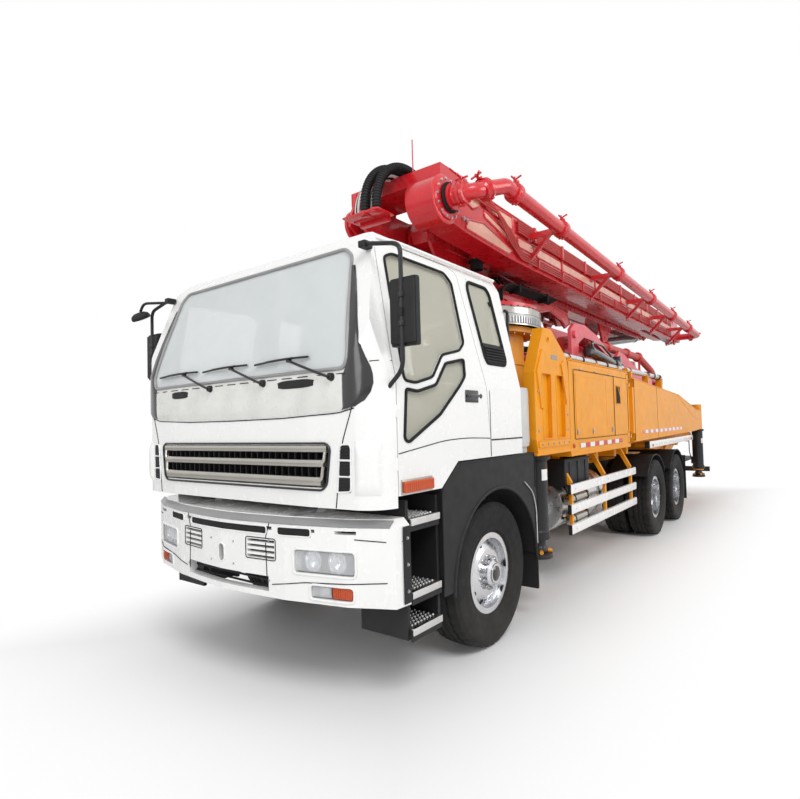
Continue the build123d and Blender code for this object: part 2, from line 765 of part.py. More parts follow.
grate = None
grate_z = hopper_top
for index in range(9):
    y = -hopper_half + 40 + index * (2 * hopper_half - 80) / 8
    rung = block(hopper_rear + 20, hopper_front + 20, y - 6, y + 6, grate_z, grate_z + 45)
    grate = rung if grate is None else grate + rung
for x in (hopper_rear + 30, hopper_rear + 350, hopper_front - 330, hopper_front + 10):
    grate = grate + block(x - 8, x + 8, -hopper_half + 34, hopper_half - 34, grate_z, grate_z + 45)
for side in (1, -1):
    lug = side_plate(
        [(hopper_rear + 30, grate_z), (hopper_rear + 30, grate_z + 45), (hopper_rear - 45, grate_z + 45),
        (hopper_rear - 72, grate_z + 22), (hopper_rear - 45, grate_z + 2)],
        side * 515, side * 545)
    lug = lug - rod_y(hopper_rear - 45, side * 480, side * 580, hopper_top + 30, 16 + pin_clearance)
    grate = grate + lug + block(
        hopper_rear + 16, hopper_rear + 40, side * 500, side * 560, grate_z, grate_z + 45
    )
write("hopper_grate", grate)

pump = None
pump_z = 1150
box_x = hopper_front + 1700
for side in (1, -1):
    y = side * pump_y
    feed = rod_x(hopper_front + 41, box_x, y, pump_z, pump_radius) + rod_x(pump_front, box_x, y, pump_z, 75)
    feed = feed + rod_x(pump_front, pump_front - 60, y, pump_z, 105)
    pump = feed if pump is None else pump + feed
pump = pump + block(box_x - 30, box_x + 480, -290, 290, pump_z - 150, pump_z + 170)
pump = pump + block(pump_front, pump_front - 120, -340, 340, pump_z - 60, pump_z + 60)

deck_pipe_z = deck_top + 132
route = [
    (hopper_front - 300, -430, 1010), (hopper_front - 300, -900, 1010),
    (hopper_front - 300, -900, deck_pipe_z),
    (hopper_front + 300, -900, deck_pipe_z), (hopper_front + 800, -560, deck_pipe_z),
    (slew_x - 900, -560, deck_pipe_z),
    (slew_x - 480, -280, deck_pipe_z),
]
deck_pipe = pipe(route, pipe_radius, 150)
for x in (-3400, -4900, -6400):
    deck_pipe = deck_pipe + rod_x(
        x - coupling_width / 2, x + coupling_width / 2, -560, deck_pipe_z, coupling_radius
    )
    deck_pipe = deck_pipe + block(x - 30, x + 30, -600, -520, deck_top, deck_pipe_z)
deck_pipe = deck_pipe - column - hopper_body(0)
write("pump_line", pump + deck_pipe)

# Outriggers

for index, (side, tag) in enumerate(((1, "l"), (-1, "r"))):
    beam_x = front_beam_x[index]
    x0 = beam_x - front_beam_width / 2
    x1 = beam_x + front_beam_width / 2
    arm = block(x0, x1, -side * 980, side * 1150, beam_bottom, beam_bottom + beam_height)
    arm = arm - block(
        x0 + 14, x1 - 14, -side * 1000, side * 900, beam_bottom + 14, beam_bottom + beam_height - 14
    )
    apex_x = (tower_front + tower_rear) / 2 + 60
    tower = side_plate(
        [(tower_front - 40, tower_bottom), (tower_front, tower_bottom + 130),
         (tower_front, tower_shoulder - 180),
         (tower_front - 90, tower_shoulder), (apex_x + 110, tower_top), (apex_x - 60, tower_top),
         (tower_rear + 40, tower_shoulder), (tower_rear, tower_shoulder - 140), (tower_rear, tower_bottom)],
        side * (half_width - tower_wall), side * half_width)
    for px in (tower_front - 250, tower_front - 560):
        panel = block(
            px - 95, px + 95, side * (half_width - 30), side * (half_width + 5), tower_bottom + 130,
            tower_shoulder - 180
        )
        tower = tower - panel
    tower = tower - rod_y(
        apex_x + 20, side * (half_width - tower_wall - 5), side * (half_width + 5), tower_top - 95, 18
    )
    tower = tower + block(
        tower_front - 20, tower_rear + 20, side * (half_width - tower_wall - 30),
        side * (half_width - tower_wall + 1), tower_bottom + 20, beam_bottom + beam_height + 40
    )
    tube = rod_z(front_jack_x, side * jack_y, 620, 1900, jack_tube_radius) - rod_z(
        front_jack_x, side * jack_y, 600, 1850, jack_rod_radius + slide_gap
    )
    arm = arm + tower
    arm = arm - rod_z(front_jack_x, side * jack_y, 1300, 1850, jack_rod_radius + slide_gap)
    arm = arm + tube
    write(f"front_outrigger_{tag}", arm)
    rod = rod_z(front_jack_x, side * jack_y, jack_foot_bottom + 30, 1340, jack_rod_radius)
    foot = rod_z(front_jack_x, side * jack_y, jack_foot_bottom, jack_foot_bottom + 40, 112)
    write(f"front_jack_{tag}", rod + foot)

    leg_profile = [
        (swing_x - 60, 2170), (swing_x - 1200, 2110), (-6400, 2030), (-8000, 1790), (leg_rear + 100, 1770),
        (leg_rear + 100, 1420), (-7600, 1390), (swing_x - 60, 1350),
    ]
    leg = side_plate(leg_profile, side * (swing_y - leg_half), side * (swing_y + leg_half))
    inner_cut = side_plate(
        [(swing_x - 160, 2080), (-6400, 1950), (-7800, 1730), (-7800, 1470), (-7500, 1460),
        (swing_x - 160, 1430)],
        side * (swing_y - leg_half - 5), side * (swing_y - leg_half + 60))
    leg = leg - inner_cut
    leg = leg + block(swing_x - 70, swing_x - 5, side * (swing_y - 70), side * (swing_y + 70), 1470, 2040)
    leg = leg + rod_z(swing_x, side * swing_y, 1462, 2048, swing_radius)
    leg = leg - block(
        swing_x - 150, swing_x + 100, side * (swing_y - 150), side * (swing_y + 150), 1300, 1460
    )
    leg = leg - block(
        swing_x - 150, swing_x + 100, side * (swing_y - 150), side * (swing_y + 150), 2050, 2200
    )
    leg = leg + rod_z(swing_x, side * swing_y, 1400, 2110, 35)
    leg = leg + rod_x(swing_x - 120, swing_x - 2000, side * side_tube_y, side_tube_z, side_tube_radius)
    for x in (swing_x - 250, swing_x - 1100, swing_x - 1900):
        leg = leg + block(
            x - 25, x + 25, side * (side_tube_y - 40), side * (side_tube_y + 40), 2050, side_tube_z + 10
        )
    socket = rod_z(leg_rear, side * swing_y, 600, 1900, jack_tube_radius + 10)
    leg = leg + socket + block(
        leg_rear, leg_rear + 120, side * (swing_y - 80), side * (swing_y + 80), 1440, 1760
    )
    leg = leg - rod_z(leg_rear, side * swing_y, 590, 1860, jack_rod_radius + slide_gap)
    write(f"rear_outrigger_{tag}", leg)
    rod = rod_z(leg_rear, side * swing_y, jack_foot_bottom + 30, 1340, jack_rod_radius)
    foot = rod_z(leg_rear, side * swing_y, jack_foot_bottom, jack_foot_bottom + 40, 112)
    write(f"rear_jack_{tag}", rod + foot)

# Cab

def cab_block(inset):
    """Outer form of the cab, shrunk by inset: side outline, front outline and plan meet in one solid."""
    low = cab_floor + inset
    skirt = cab_skirt + inset
    skirt_rear = door_front + door_gap + 2 + inset
    arch = cab_arch_height + inset
    front = cab_front - inset
    back = cab_rear + inset
    top = cab_roof - inset
    side_face = side_plate(
        [(front, skirt), (front, cab_belt), (front - screen_rake * 0.35, cab_belt + 320),
         (front - screen_rake, top - 110),
         (front - screen_rake - 90, top - 20), (front - screen_rake - 260, top), (back + 60, top),
         (back, top - 50),
         (back, arch), (560, arch), (760, low), (skirt_rear, low), (skirt_rear, skirt)],
        -half_width, half_width)
    edge = half_width - 5 - inset
    roof_edge = edge - cab_roof_inset
    front_face = front_plate(
        [(-edge, skirt), (-edge, cab_belt - 50), (-roof_edge, top - 150), (-roof_edge + 70, top - 30),
         (-roof_edge + 260, top),
         (roof_edge - 260, top), (roof_edge - 70, top - 30), (roof_edge, top - 150), (edge, cab_belt - 50),
          (edge, skirt)],
        back - 10, front + 10)
    taper = 45
    shoulder = 520
    plan = make_face(Polyline(
        (back, -edge), (front - taper, -edge), (front, shoulder - edge), (front, edge - shoulder),
        (front - taper, edge), (back, edge),
        close=True))
    corners = plan.vertices().filter_by(lambda v: abs(v.X - front + taper) < 1)
    plan_face = Pos(0, 0, skirt - 10) * extrude(fillet(corners, cab_corner - inset), top - skirt + 20)
    return side_face & front_face & plan_face


def rounded(points, radius):
    """Flat outline with its corners rounded."""
    face = make_face(Polyline(*points, close=True))
    return fillet(face.vertices(), radius)


def window_side(points, radius=window_corner):
    """Opening through both side walls."""
    reach = half_width + 50
    return Pos(0, reach, 0) * extrude(Plane.XZ * rounded(points, radius), 2 * reach)


def window_front(points, x0, x1):
    """Opening through a wall that faces along the truck."""
    return Pos(x0, 0, 0) * extrude(Plane.YZ * rounded(points, window_corner), x1 - x0)


side_window = [
    (1085, 2660), (1120, 1900), (1010, 1890), (820, 1935), (660, 2090), (430, 2140), (350, 2200), (345, 2640),
    (420, 2700), (1000, 2700),
]
quarter_window = [
    (130, 2640), (100, 2700), (-170, 2700), (-210, 2650), (-240, 2120), (-210, 2080), (60, 2080), (85, 2120)
]
door_outline = [
    (door_front, cab_floor - 20), (door_front, 2060), (1150, 2740), (960, 2775), (330, 2775), (250, 2740),
    (door_rear, cab_arch_height + 165),
    (door_rear, cab_arch_height), (560, cab_arch_height), (760, cab_floor - 20),
]
screen = [
    (-1010, cab_belt + 20), (-1040, cab_belt + 90), (-930, cab_roof - 190), (-860, cab_roof - 130),
    (860, cab_roof - 130),
    (930, cab_roof - 190), (1040, cab_belt + 90), (1010, cab_belt + 20),
]


def grown(points, by, y0, y1):
    """Outline in X and Z grown by a distance, from y0 to y1."""
    face = Plane.XZ * offset(make_face(Polyline(*points, close=True)), by, kind=Kind.INTERSECTION)
    return Pos(0, max(y0, y1), 0) * extrude(face, abs(y1 - y0))


outer_cab = cab_block(0)
inner_cab = cab_block(cab_wall)
walls = outer_cab - inner_cab
sill_y = half_width - 5 - cab_wall
sill_top = cab_arch_height + cab_wall + 2
sill = block(cab_rear, door_front + 20, -sill_y + door_gap, sill_y - door_gap, cab_floor - 60, sill_top)
door_cuts = [grown(door_outline, door_gap, side * 1000, side * 1300) - sill for side in (1, -1)]
shell = walls - door_cuts[0] - door_cuts[1]
screen_cut = window_front(screen, 900, 1500)
shell = shell - screen_cut
shell = shell - window_side(quarter_window)
rear_window = window_front(
    [(-560, 2050), (-560, 2560), (560, 2560), (560, 2050)], cab_rear - 50, cab_rear + 100
)
shell = shell - rear_window
grille_hole = front_plate(
    [(-860, 1290), (-900, 1530), (900, 1530), (860, 1290)], cab_front - 200, cab_front + 50
)
shell = shell - grille_hole
for side in (1, -1):
    for index in range(3):
        y = side * (985 + index * 26)
        shell = shell - block(cab_front - 140, cab_front + 20, y - 5, y + 5, 1310, 1500)
    arm = side_plate(
        [(tilt_x + 30, tilt_z + 34), (tilt_x + 46, tilt_z), (tilt_x + 30, tilt_z - 40),
         (tilt_x - 30, tilt_z - 40), (tilt_x - 60, tilt_z + 30),
         (900, cab_floor + 20), (1010, cab_floor + 20)],
        side * (tilt_arm_y - tilt_arm_width / 2), side * (tilt_arm_y + tilt_arm_width / 2))
    arm = arm - rod_y(tilt_x, side * (tilt_arm_y - 80), side * (tilt_arm_y + 80), tilt_z, 26 + pin_clearance)
    shell = shell + arm
write("cab_shell", shell)

low_window = [
    (1105, 1850), (1130, 1560), (1090, 1540), (760, 1700), (430, 1960), (400, 2080), (640, 2035), (800, 1885),
    (990, 1840)
]
low_corner = 14
sill_zone = block(cab_rear, door_front + 20, -sill_y, sill_y, cab_floor - 60, sill_top)
for side, tag in ((1, "l"), (-1, "r")):
    slab = walls & grown(door_outline, 0, side * 1000, side * 1300)
    slab = slab - sill_zone
    slab = slab - window_side(side_window)
    slab = slab - window_side(low_window, low_corner)
    handle = block(300, 430, side * (half_width - 12), side * (half_width - 1), 1800, 1850)
    slab = slab + handle
    write(f"door_{tag}", slab)
    glass_zone = cab_block(14) - cab_block(22)
    panes = glass_zone & (window_side(side_window) + window_side(low_window, low_corner))
    panes = panes & block(cab_rear, cab_front, side * 900, side * 1300, cab_floor, cab_roof)
    write(f"door_glass_{tag}", panes)

glass_zone = cab_block(14) - cab_block(22)
cab_glass = (glass_zone & screen_cut) + (
    glass_zone & window_side(quarter_window)
) + (glass_zone & rear_window)
write("cab_glass", cab_glass)

grille = None
for z in (1300, 1345, 1390, 1435, 1480):
    slat = front_plate([(-855, z), (-855, z + 22), (855, z + 22), (855, z)], cab_front - 60, cab_front - 20)
    grille = slat if grille is None else grille + slat
back = front_plate([(-872, 1284), (-912, 1540), (912, 1540), (872, 1284)], cab_front - 75, cab_front - 50)
grille = grille + back
write("grille", grille - shell)

low_floor = cab_floor + cab_wall
high_floor = cab_arch_height + cab_wall
interior = side_plate(
    [(1290, low_floor), (760, low_floor), (560, high_floor), (cab_rear + cab_wall, high_floor),
     (cab_rear + cab_wall, high_floor + 20),
     (570, high_floor + 20), (770, low_floor + 20), (1290, low_floor + 20)],
    -1100, 1100)
interior = interior + block(-200, 600, -330, 330, high_floor + 10, high_floor + 200)
dash_outline = [(1180, 50), (1310, 260), (1310, 640), (1150, 690), (1000, 610), (1010, 410), (1080, 160)]
dash = side_plate([(x, cab_floor + up) for x, up in dash_outline], -1060, 1060)
interior = interior + dash
seat_outlines = (
    ([(-120, 120), (-160, 260), (440, 290), (460, 140), (420, 120)], 0),
    ([(-60, 250), (-220, 840), (-130, 870), (40, 260)], 20),
    ([(-210, 860), (-240, 1020), (-150, 1040), (-130, 870)], 120),
)
for side in (1, -1):
    y0 = side * 420
    y1 = side * 930
    interior = interior + block(-60, 400, y0, y1, high_floor + 10, high_floor + 130)
    for outline, margin in seat_outlines:
        face = [(x, high_floor + up) for x, up in outline]
        interior = interior + side_plate(face, y0 + side * margin, y1 - side * margin)
wheel_centre = (830, 675, cab_floor + 760)
steering = Plane(origin=wheel_centre, z_dir=(-0.55, 0, 0.835))
interior = interior + steering * (
    Torus(225, 17) + Cylinder(60, 30) + Box(440, 34, 16) + Pos(0, -115, 0) * Box(34, 200, 16) + Pos(0, 0,
    -160) * Cylinder(32, 320)
)
write("cab_interior", interior & inner_cab)

mirrors = None
for side in (1, -1):
    stay = pipe([(1240, 1080, 2700), (1240, 1330, 2650), (1240, 1330, 1950), (1235, 1190, 1830)], 13, 60)
    head = block(1190, 1225, 1240, 1420, 2080, 2460)
    link = block(1215, 1245, 1318, 1342, 2240, 2290) + block(1195, 1268, 1040, 1090, 2680, 2720)
    low_link = block(1190, 1262, 1180, 1215, 1800, 1850)
    group = stay + head + link + low_link
    if side < 0:
        group = mirrored(group)
        extra = pipe([(1240, -1090, 2690), (1330, -1290, 2700), (1330, -1345, 2640)], 11, 40)
        group = group + extra + Pos(1330, -1345, 2600) * Sphere(75)
    mirrors = group if mirrors is None else mirrors + group
mirrors = mirrors - outer_cab
write("mirrors", mirrors)

# Boom

def arm_pipe(points, posts, seat):
    """Delivery pipe along an arm, with couplings and with posts from the arm at the places (x, z)."""
    line = pipe(points, pipe_radius, pipe_elbow)
    for x, z in posts:
        y = points[1][1]
        line = line + rod_x(x - coupling_width / 2, x + coupling_width / 2, y, z, coupling_radius)
        line = line + seat(x, y, z)
    return line


def turned(points, hinge, back):
    """Points (along, up) from a hinge, with along pointing backwards or forwards."""
    sign = -1 if back else 1
    return [(hinge[0] + sign * u, hinge[1] + v) for u, v in points]


def fork(hinge, back, lane, half, low, high):
    """End of a carrying arm: two ears with stub pins, open between them."""
    outline = [
        (throat - 50, neck_half), (throat + 200, high), (throat + 260, high), (throat + 260, low),
        (throat + 200, low), (throat - 50, -neck_half), (0, -neck_half), (0, neck_half)
    ]
    body = side_plate(turned(outline, hinge, back), lane - half, lane + half)
    body = body + rod_y(hinge[0], lane - half, lane + half, hinge[1], ear_radius)
    sign = -1 if back else 1
    slot_end = hinge[0] + sign * throat
    slot = block(
        hinge[0] - sign * 200, slot_end, lane - half + ear_wall, lane + half - ear_wall, hinge[1] - 600,
        hinge[1] + 600
    )
    body = body - slot
    for end in (1, -1):
        inner = lane + end * (half - ear_wall - ear_gap - ear_wall)
        body = body + rod_y(hinge[0], lane + end * half, inner + end * 1, hinge[1], pin_radius)
    return body


def crank(hinge, back, lane, half, to_low, to_high):
    """Root of a carried arm: two inner ears and the bridge over the fork to the arm's own lane."""
    lug_u, lug_v = crank_eye
    outline = [
        (bridge_back, bridge_high), (bridge_front, bridge_high), (bridge_front - 20, 0), (lug_u + 74, lug_v),
        (lug_u, lug_v - 75),
        (lug_u - 60, lug_v - 40), (40, -ear_radius + 8), (-ear_radius + 10, -40), (-ear_radius + 10, 40),
        (bridge_back - 40, 150),
    ]
    body = None
    for end in (1, -1):
        face = lane + end * (half - ear_wall - ear_gap)
        ear = side_plate(turned(outline, hinge, back), face, face - end * ear_wall)
        ear = ear - rod_y(hinge[0], face - 100, face + 100, hinge[1], pin_radius + pin_clearance)
        body = ear if body is None else body + ear
    bridge = [
        (bridge_back, bridge_low), (bridge_back, bridge_high), (bridge_front, bridge_high),
        (bridge_front, bridge_low)
    ]
    inner_low = lane - half + ear_wall + ear_gap
    inner_high = lane + half - ear_wall - ear_gap
    body = body + side_plate(turned(bridge, hinge, back), min(to_low, inner_low), max(to_high, inner_high))
    return body


def barrel_and_rod(name, base, eye, barrel_r, rod_r, half_eye, gland):
    """Cylinder between two points in a plane of constant Y: the barrel with its eye and the rod with its eye and pin."""
    bx, bz, y = base
    ex, ez = eye
    length = sqrt((ex - bx) ** 2 + (ez - bz) ** 2)
    axis = Plane(origin=(bx, y, bz), z_dir=((ex - bx) / length, 0, (ez - bz) / length), x_dir=(0, 1, 0))
    tube_length = length - gland
    barrel = axis * Pos(0, 0, 70 + (tube_length - 70) / 2) * Cylinder(barrel_r, tube_length - 70)
    barrel = barrel + axis * Pos(0, 0, tube_length - 30) * Cylinder(barrel_r + 6, 60)
    barrel = barrel - axis * Pos(0, 0, tube_length / 2 + 60) * Cylinder(rod_r + slide_gap, tube_length)
    barrel = barrel + rod_y(
        bx, y - half_eye, y + half_eye, bz, 68
    ) + axis * Pos(0, 0, 55) * Cylinder(barrel_r * 0.7, 70)
    barrel = barrel - rod_y(bx, y - barrel_r - 20, y + barrel_r + 20, bz, 30 + pin_clearance)
    rod = axis * Pos(0, 0, length / 2 + 130) * Cylinder(rod_r, length - 290)
    rod = rod + axis * Pos(0, 0, length - 40) * Cylinder(rod_r, 60)
    rod = rod + rod_y(ex, y - half_eye, y + half_eye, ez, eye_radius)
    write(f"{name}_barrel", barrel)
    write(f"{name}_rod", rod)


rear = (rear_hinge_x, rear_hinge_z)
front = (front_hinge_x, front_hinge_z)
tip = (tip_hinge_x, tip_hinge_z)
base_gland = throat - crank_radius + 110
cheek_gap = 105
cheek_wall = 33
lift_eye = (root_x - lift_lug_back, root_z - lift_lug_drop)


def base_pins(x, z, lane, half_eye, reach):
    """Pin of a barrel's base, held between two lugs."""
    return rod_y(x, lane - reach, lane + reach, z, 30)


# Turret
turret = rod_z(slew_x, 0, ring_top + 12, ring_top + 55, ring_radius - 30)
turret = turret + rod_z(slew_x, 0, ring_top + slide_gap, ring_top + 14, ring_radius - 60)
cheek_outline = [
    (slew_x - 560, ring_top + 50), (slew_x - 760, ring_top + 150), (slew_x - 700, ring_top + 330),
    (slew_x - 300, ring_top + 420),
    (root_x - 230, root_z - 90), (root_x - 150, root_z + 60), (root_x, root_z + 150),
    (root_x + 130, root_z + 40), (root_x + 150, root_z - 120),
    (root_x - 60, root_z - 420), (slew_x + 640, ring_top + 50),
]
for end in (1, -1):
    low = lane_1 + end * cheek_gap
    cheek = side_plate(cheek_outline, low, low + end * cheek_wall)
    turret = turret + cheek
    rib = front_plate(
        [(low + end * 30, ring_top + 50), (lane_1 + end * 420, ring_top + 50),
        (lane_1 + end * 420, ring_top + 90), (low + end * 30, ring_top + 330)],
        slew_x - 200, slew_x - 160)
    turret = turret + rib + (Pos(500, 0, 0) * rib)
turret = turret + base_pins(lift_base_x, lift_base_z, lane_1, 0, cheek_gap + 5)
turret = turret + rod_y(root_x, lane_1 - cheek_gap - 5, lane_1 + cheek_gap + 5, root_z, pin_radius)
turret = turret + block(
    slew_x - 560, slew_x - 520, lane_1 - cheek_gap - 5, lane_1 + cheek_gap + 5, ring_top + 50, ring_top + 85
)
wing_base = ring_top + 50
wing_outline = [
    (slew_x + 250, wing_base), (slew_x + 250, wing_base + 140), (slew_x - 100, wing_base + 330),
    (slew_x - 1100, wing_base + 375),
    (slew_x - 2150, wing_base + 290), (slew_x - 2250, wing_base + 150), (slew_x - 2050, wing_base + 60),
    (slew_x - 1900, wing_base + 150),
    (slew_x - 1500, wing_base + 225), (slew_x - 1150, wing_base + 150), (slew_x - 950, wing_base + 20),
    (slew_x - 600, wing_base),
]
for end in (1, -1):
    face = lane_1 + end * wing_y
    wing = side_plate(wing_outline, face, face + end * wing_wall)
    wing = wing - rod_y(slew_x - 880, face - 100, face + 100, wing_base + 170, 45)
    turret = turret + wing
for x in (slew_x - 480, slew_x - 300):
    turret = turret + block(
        x, x + 20, lane_1 - wing_y - 5, lane_1 - cheek_gap - 5, wing_base - 5, wing_base + 110
    )
    turret = turret + block(
        x, x + 20, lane_1 + cheek_gap + 5, lane_1 + wing_y + 5, wing_base - 5, wing_base + 110
    )
write("turret", turret)

# Arm 1: from the turret back to the rear hinge
arm_1_outline = [
    (root_x + 100, root_z + 120), (root_x - 800, box_top - 60), (root_x - 2300, box_top),
    (rear_hinge_x + throat + 200, box_top),
    (rear_hinge_x + throat + 200, box_bottom), (root_x - 2500, box_bottom - 25),
    (root_x - 1300, root_z - 170), (root_x - 60, root_z - 145),
    (root_x + 110, root_z - 110), (root_x + 155, root_z),
]
root_half = cheek_gap - 6
arm_1 = side_plate(arm_1_outline, lane_1 - half_1, lane_1 + half_1)
arm_1 = arm_1 - block(
    root_x - 1000, root_x + 300, lane_1 - half_1 - 5, lane_1 - root_half, box_bottom - 300, box_top + 100
)
arm_1 = arm_1 - block(
    root_x - 1000, root_x + 300, lane_1 + root_half, lane_1 + half_1 + 5, box_bottom - 300, box_top + 100
)
arm_1 = arm_1 - rod_y(root_x, lane_1 - 300, lane_1 + 300, root_z, pin_radius + pin_clearance)
for end in (1, -1):
    y0 = lane_1 + end * 66
    lug = side_plate(
        [(lift_eye[0] - 420, box_bottom + 5), (lift_eye[0] - 120, lift_eye[1] - 75),
        (lift_eye[0] + 60, lift_eye[1] - 95), (lift_eye[0] + 330, box_bottom + 5)],
        y0, y0 + end * 40)
    arm_1 = arm_1 + lug
arm_1 = arm_1 + fork(rear, False, lane_1, half_1, box_bottom - rear_hinge_z, box_top - rear_hinge_z)
cyl_2_base = (rear_hinge_x + cylinder_2_back, rear_hinge_z - cylinder_2_drop)
arm_1 = arm_1 - block(
    rear_hinge_x + throat - 10, cyl_2_base[0] - 700, lane_1 - 100, lane_1 + 100, box_bottom - 100,
    rear_hinge_z + 65
)
for end in (1, -1):
    y0 = lane_1 + end * 92
    lug = side_plate(
        [(cyl_2_base[0] + 300, box_bottom + 5), (cyl_2_base[0] + 80, cyl_2_base[1] - 50),
        (cyl_2_base[0] - 60, cyl_2_base[1] - 60), (cyl_2_base[0] - 420, box_bottom + 5)],
        y0, y0 + end * 36)
    arm_1 = arm_1 + lug
arm_1 = arm_1 + rod_y(cyl_2_base[0], lane_1 - 95, lane_1 + 95, cyl_2_base[1], 30)
pipe_1_z = box_top + coupling_radius + pipe_stand
pipe_1_ends = (root_x - 1650, rear_hinge_x + throat + 500)
arm_1 = arm_1 + arm_pipe(
    [(pipe_1_ends[0], lane_1, box_top - 20), (pipe_1_ends[0], lane_1, pipe_1_z),
    (pipe_1_ends[1], lane_1, pipe_1_z), (pipe_1_ends[1], lane_1, box_top - 20)],
    [(x, pipe_1_z) for x in (-3100, -4600, -6100, -7600)],
    lambda x, y, z: block(x - 20, x + 20, y - 60, y + 60, box_top - 5, z))
write("arm_1", arm_1)

# Arm 2: from the rear hinge forward, to the right of arm 1
arm_2_outline = [
    (rear_hinge_x - 40, arm_2_top + 60), (rear_hinge_x + 500, arm_2_top + 60),
    (rear_hinge_x + 1300, arm_2_top), (front_hinge_x - throat - 200, arm_2_top),
    (front_hinge_x - throat - 200, arm_2_bottom), (rear_hinge_x + 900, arm_2_bottom),
    (rear_hinge_x + 100, arm_2_bottom + 90), (rear_hinge_x - 40, rear_hinge_z + 150),
]
arm_2 = side_plate(arm_2_outline, lane_2 - half_2, lane_2 + half_2)
arm_2 = arm_2 + crank(rear, False, lane_1, half_1, lane_2 - half_2, lane_2 + half_2)
arm_2 = arm_2 + fork(front, True, lane_2, half_2, arm_2_bottom - front_hinge_z, arm_2_top - front_hinge_z)
cyl_3_base = (front_hinge_x - cylinder_3_back, front_hinge_z)
arm_2 = arm_2 - block(
    front_hinge_x - throat + 10, cyl_3_base[0] - 100, lane_2 - 88, lane_2 + 88, arm_2_bottom - 100,
    arm_2_top + 100
)
arm_2 = arm_2 + rod_y(cyl_3_base[0], lane_2 - 90, lane_2 + 90, cyl_3_base[1], 30)
pipe_2_y = lane_2 - half_2 - coupling_radius - 3 * pipe_stand
pipe_2_z = (arm_2_bottom + arm_2_top) / 2
pipe_2_root = lane_2 - half_2 + 15
pipe_2_ends = (rear_hinge_x + 420, front_hinge_x - throat - 300)
arm_2 = arm_2 + arm_pipe(
    [(pipe_2_ends[0], pipe_2_root, pipe_2_z), (pipe_2_ends[0], pipe_2_y, pipe_2_z),
    (pipe_2_ends[1], pipe_2_y, pipe_2_z), (pipe_2_ends[1], pipe_2_root, pipe_2_z)],
    [(x, pipe_2_z) for x in (-2600, -4300, -6000, -7700)],
    lambda x, y, z: block(x - 20, x + 20, y, lane_2 - half_2 + 5, z - 40, z + 40))
write("arm_2", arm_2)

# Arm 3: from the front hinge back, the upper left arm
arm_3_outline = [
    (front_hinge_x + 60, front_hinge_z + 150), (front_hinge_x - 120, front_hinge_z + 310),
    (front_hinge_x - 900, box_top), (tip_hinge_x + throat + 200, box_top_rear),
    (tip_hinge_x + throat + 200, box_bottom + 5), (front_hinge_x - 1200, box_bottom),
    (front_hinge_x - 300, front_hinge_z - 190), (front_hinge_x, front_hinge_z - 150),
]
arm_3 = side_plate(arm_3_outline, lane_3 - half_3, lane_3 + half_3)
arm_3 = arm_3 + rod_y(front_hinge_x, lane_3 - half_3, lane_3 + half_3, front_hinge_z, ear_radius + 55)
arm_3 = arm_3 + crank(front, True, lane_2, half_2, lane_2 - half_2, lane_3 + half_3)
arm_3 = arm_3 + fork(tip, False, lane_3, half_3, box_bottom + 5 - tip_hinge_z, box_top_rear - tip_hinge_z)
cyl_4_base = (tip_hinge_x + cylinder_4_back, tip_hinge_z)
arm_3 = arm_3 - block(
    tip_hinge_x + throat - 10, cyl_4_base[0] + 100, lane_3 - 88, lane_3 + 88, box_bottom - 100, box_top + 100
)
arm_3 = arm_3 + rod_y(cyl_4_base[0], lane_3 - 90, lane_3 + 90, cyl_4_base[1], 30)
antenna_y = 300
arm_3 = arm_3 + rod_z(front_hinge_x + 10, antenna_y, front_hinge_z + bridge_high - 5, 4210, 6)

pipe_y = 1000
pipe_front_z = 3730
pipe_rear_z = 3470
run_front = front_hinge_x - 60
arm_3_pipe = pipe(
    [(front_hinge_x, lane_3 + half_3 - 20, front_hinge_z), (front_hinge_x, pipe_y - 130, front_hinge_z),
     (run_front - 350, pipe_y, pipe_front_z),
     (tip_hinge_x, pipe_y, pipe_rear_z), (tip_hinge_x, lane_3 + half_3 - 20, tip_hinge_z - 30)],
    pipe_radius, 125)
pipe_run = tip_hinge_x - run_front + 350
for share in (0.02, 0.14, 0.36, 0.55, 0.72, 0.88):
    x = run_front - 350 + share * pipe_run
    z = pipe_front_z + (pipe_rear_z - pipe_front_z) * share
    collar = rod_x(x - coupling_width / 2, x + coupling_width / 2, pipe_y, z, coupling_radius)
    stay = side_plate(
        [(x - 25, z - 30), (x - 25, z + 30), (x + 25, z + 30), (x + 25, z - 30)], lane_3 + half_3 - 5,
        pipe_y - 50
    )
    brace = front_plate(
        [(lane_3 + half_3 - 5, z - 300), (lane_3 + half_3 - 5, z - 240), (pipe_y - 120, z + 20), (pipe_y - 60, z + 20)], x - 20, x + 20
    )
    if share > 0.05:
        arm_3_pipe = arm_3_pipe + collar + stay + brace
    else:
        arm_3_pipe = arm_3_pipe + collar
arm_3 = arm_3 + arm_3_pipe
write("arm_3", arm_3)

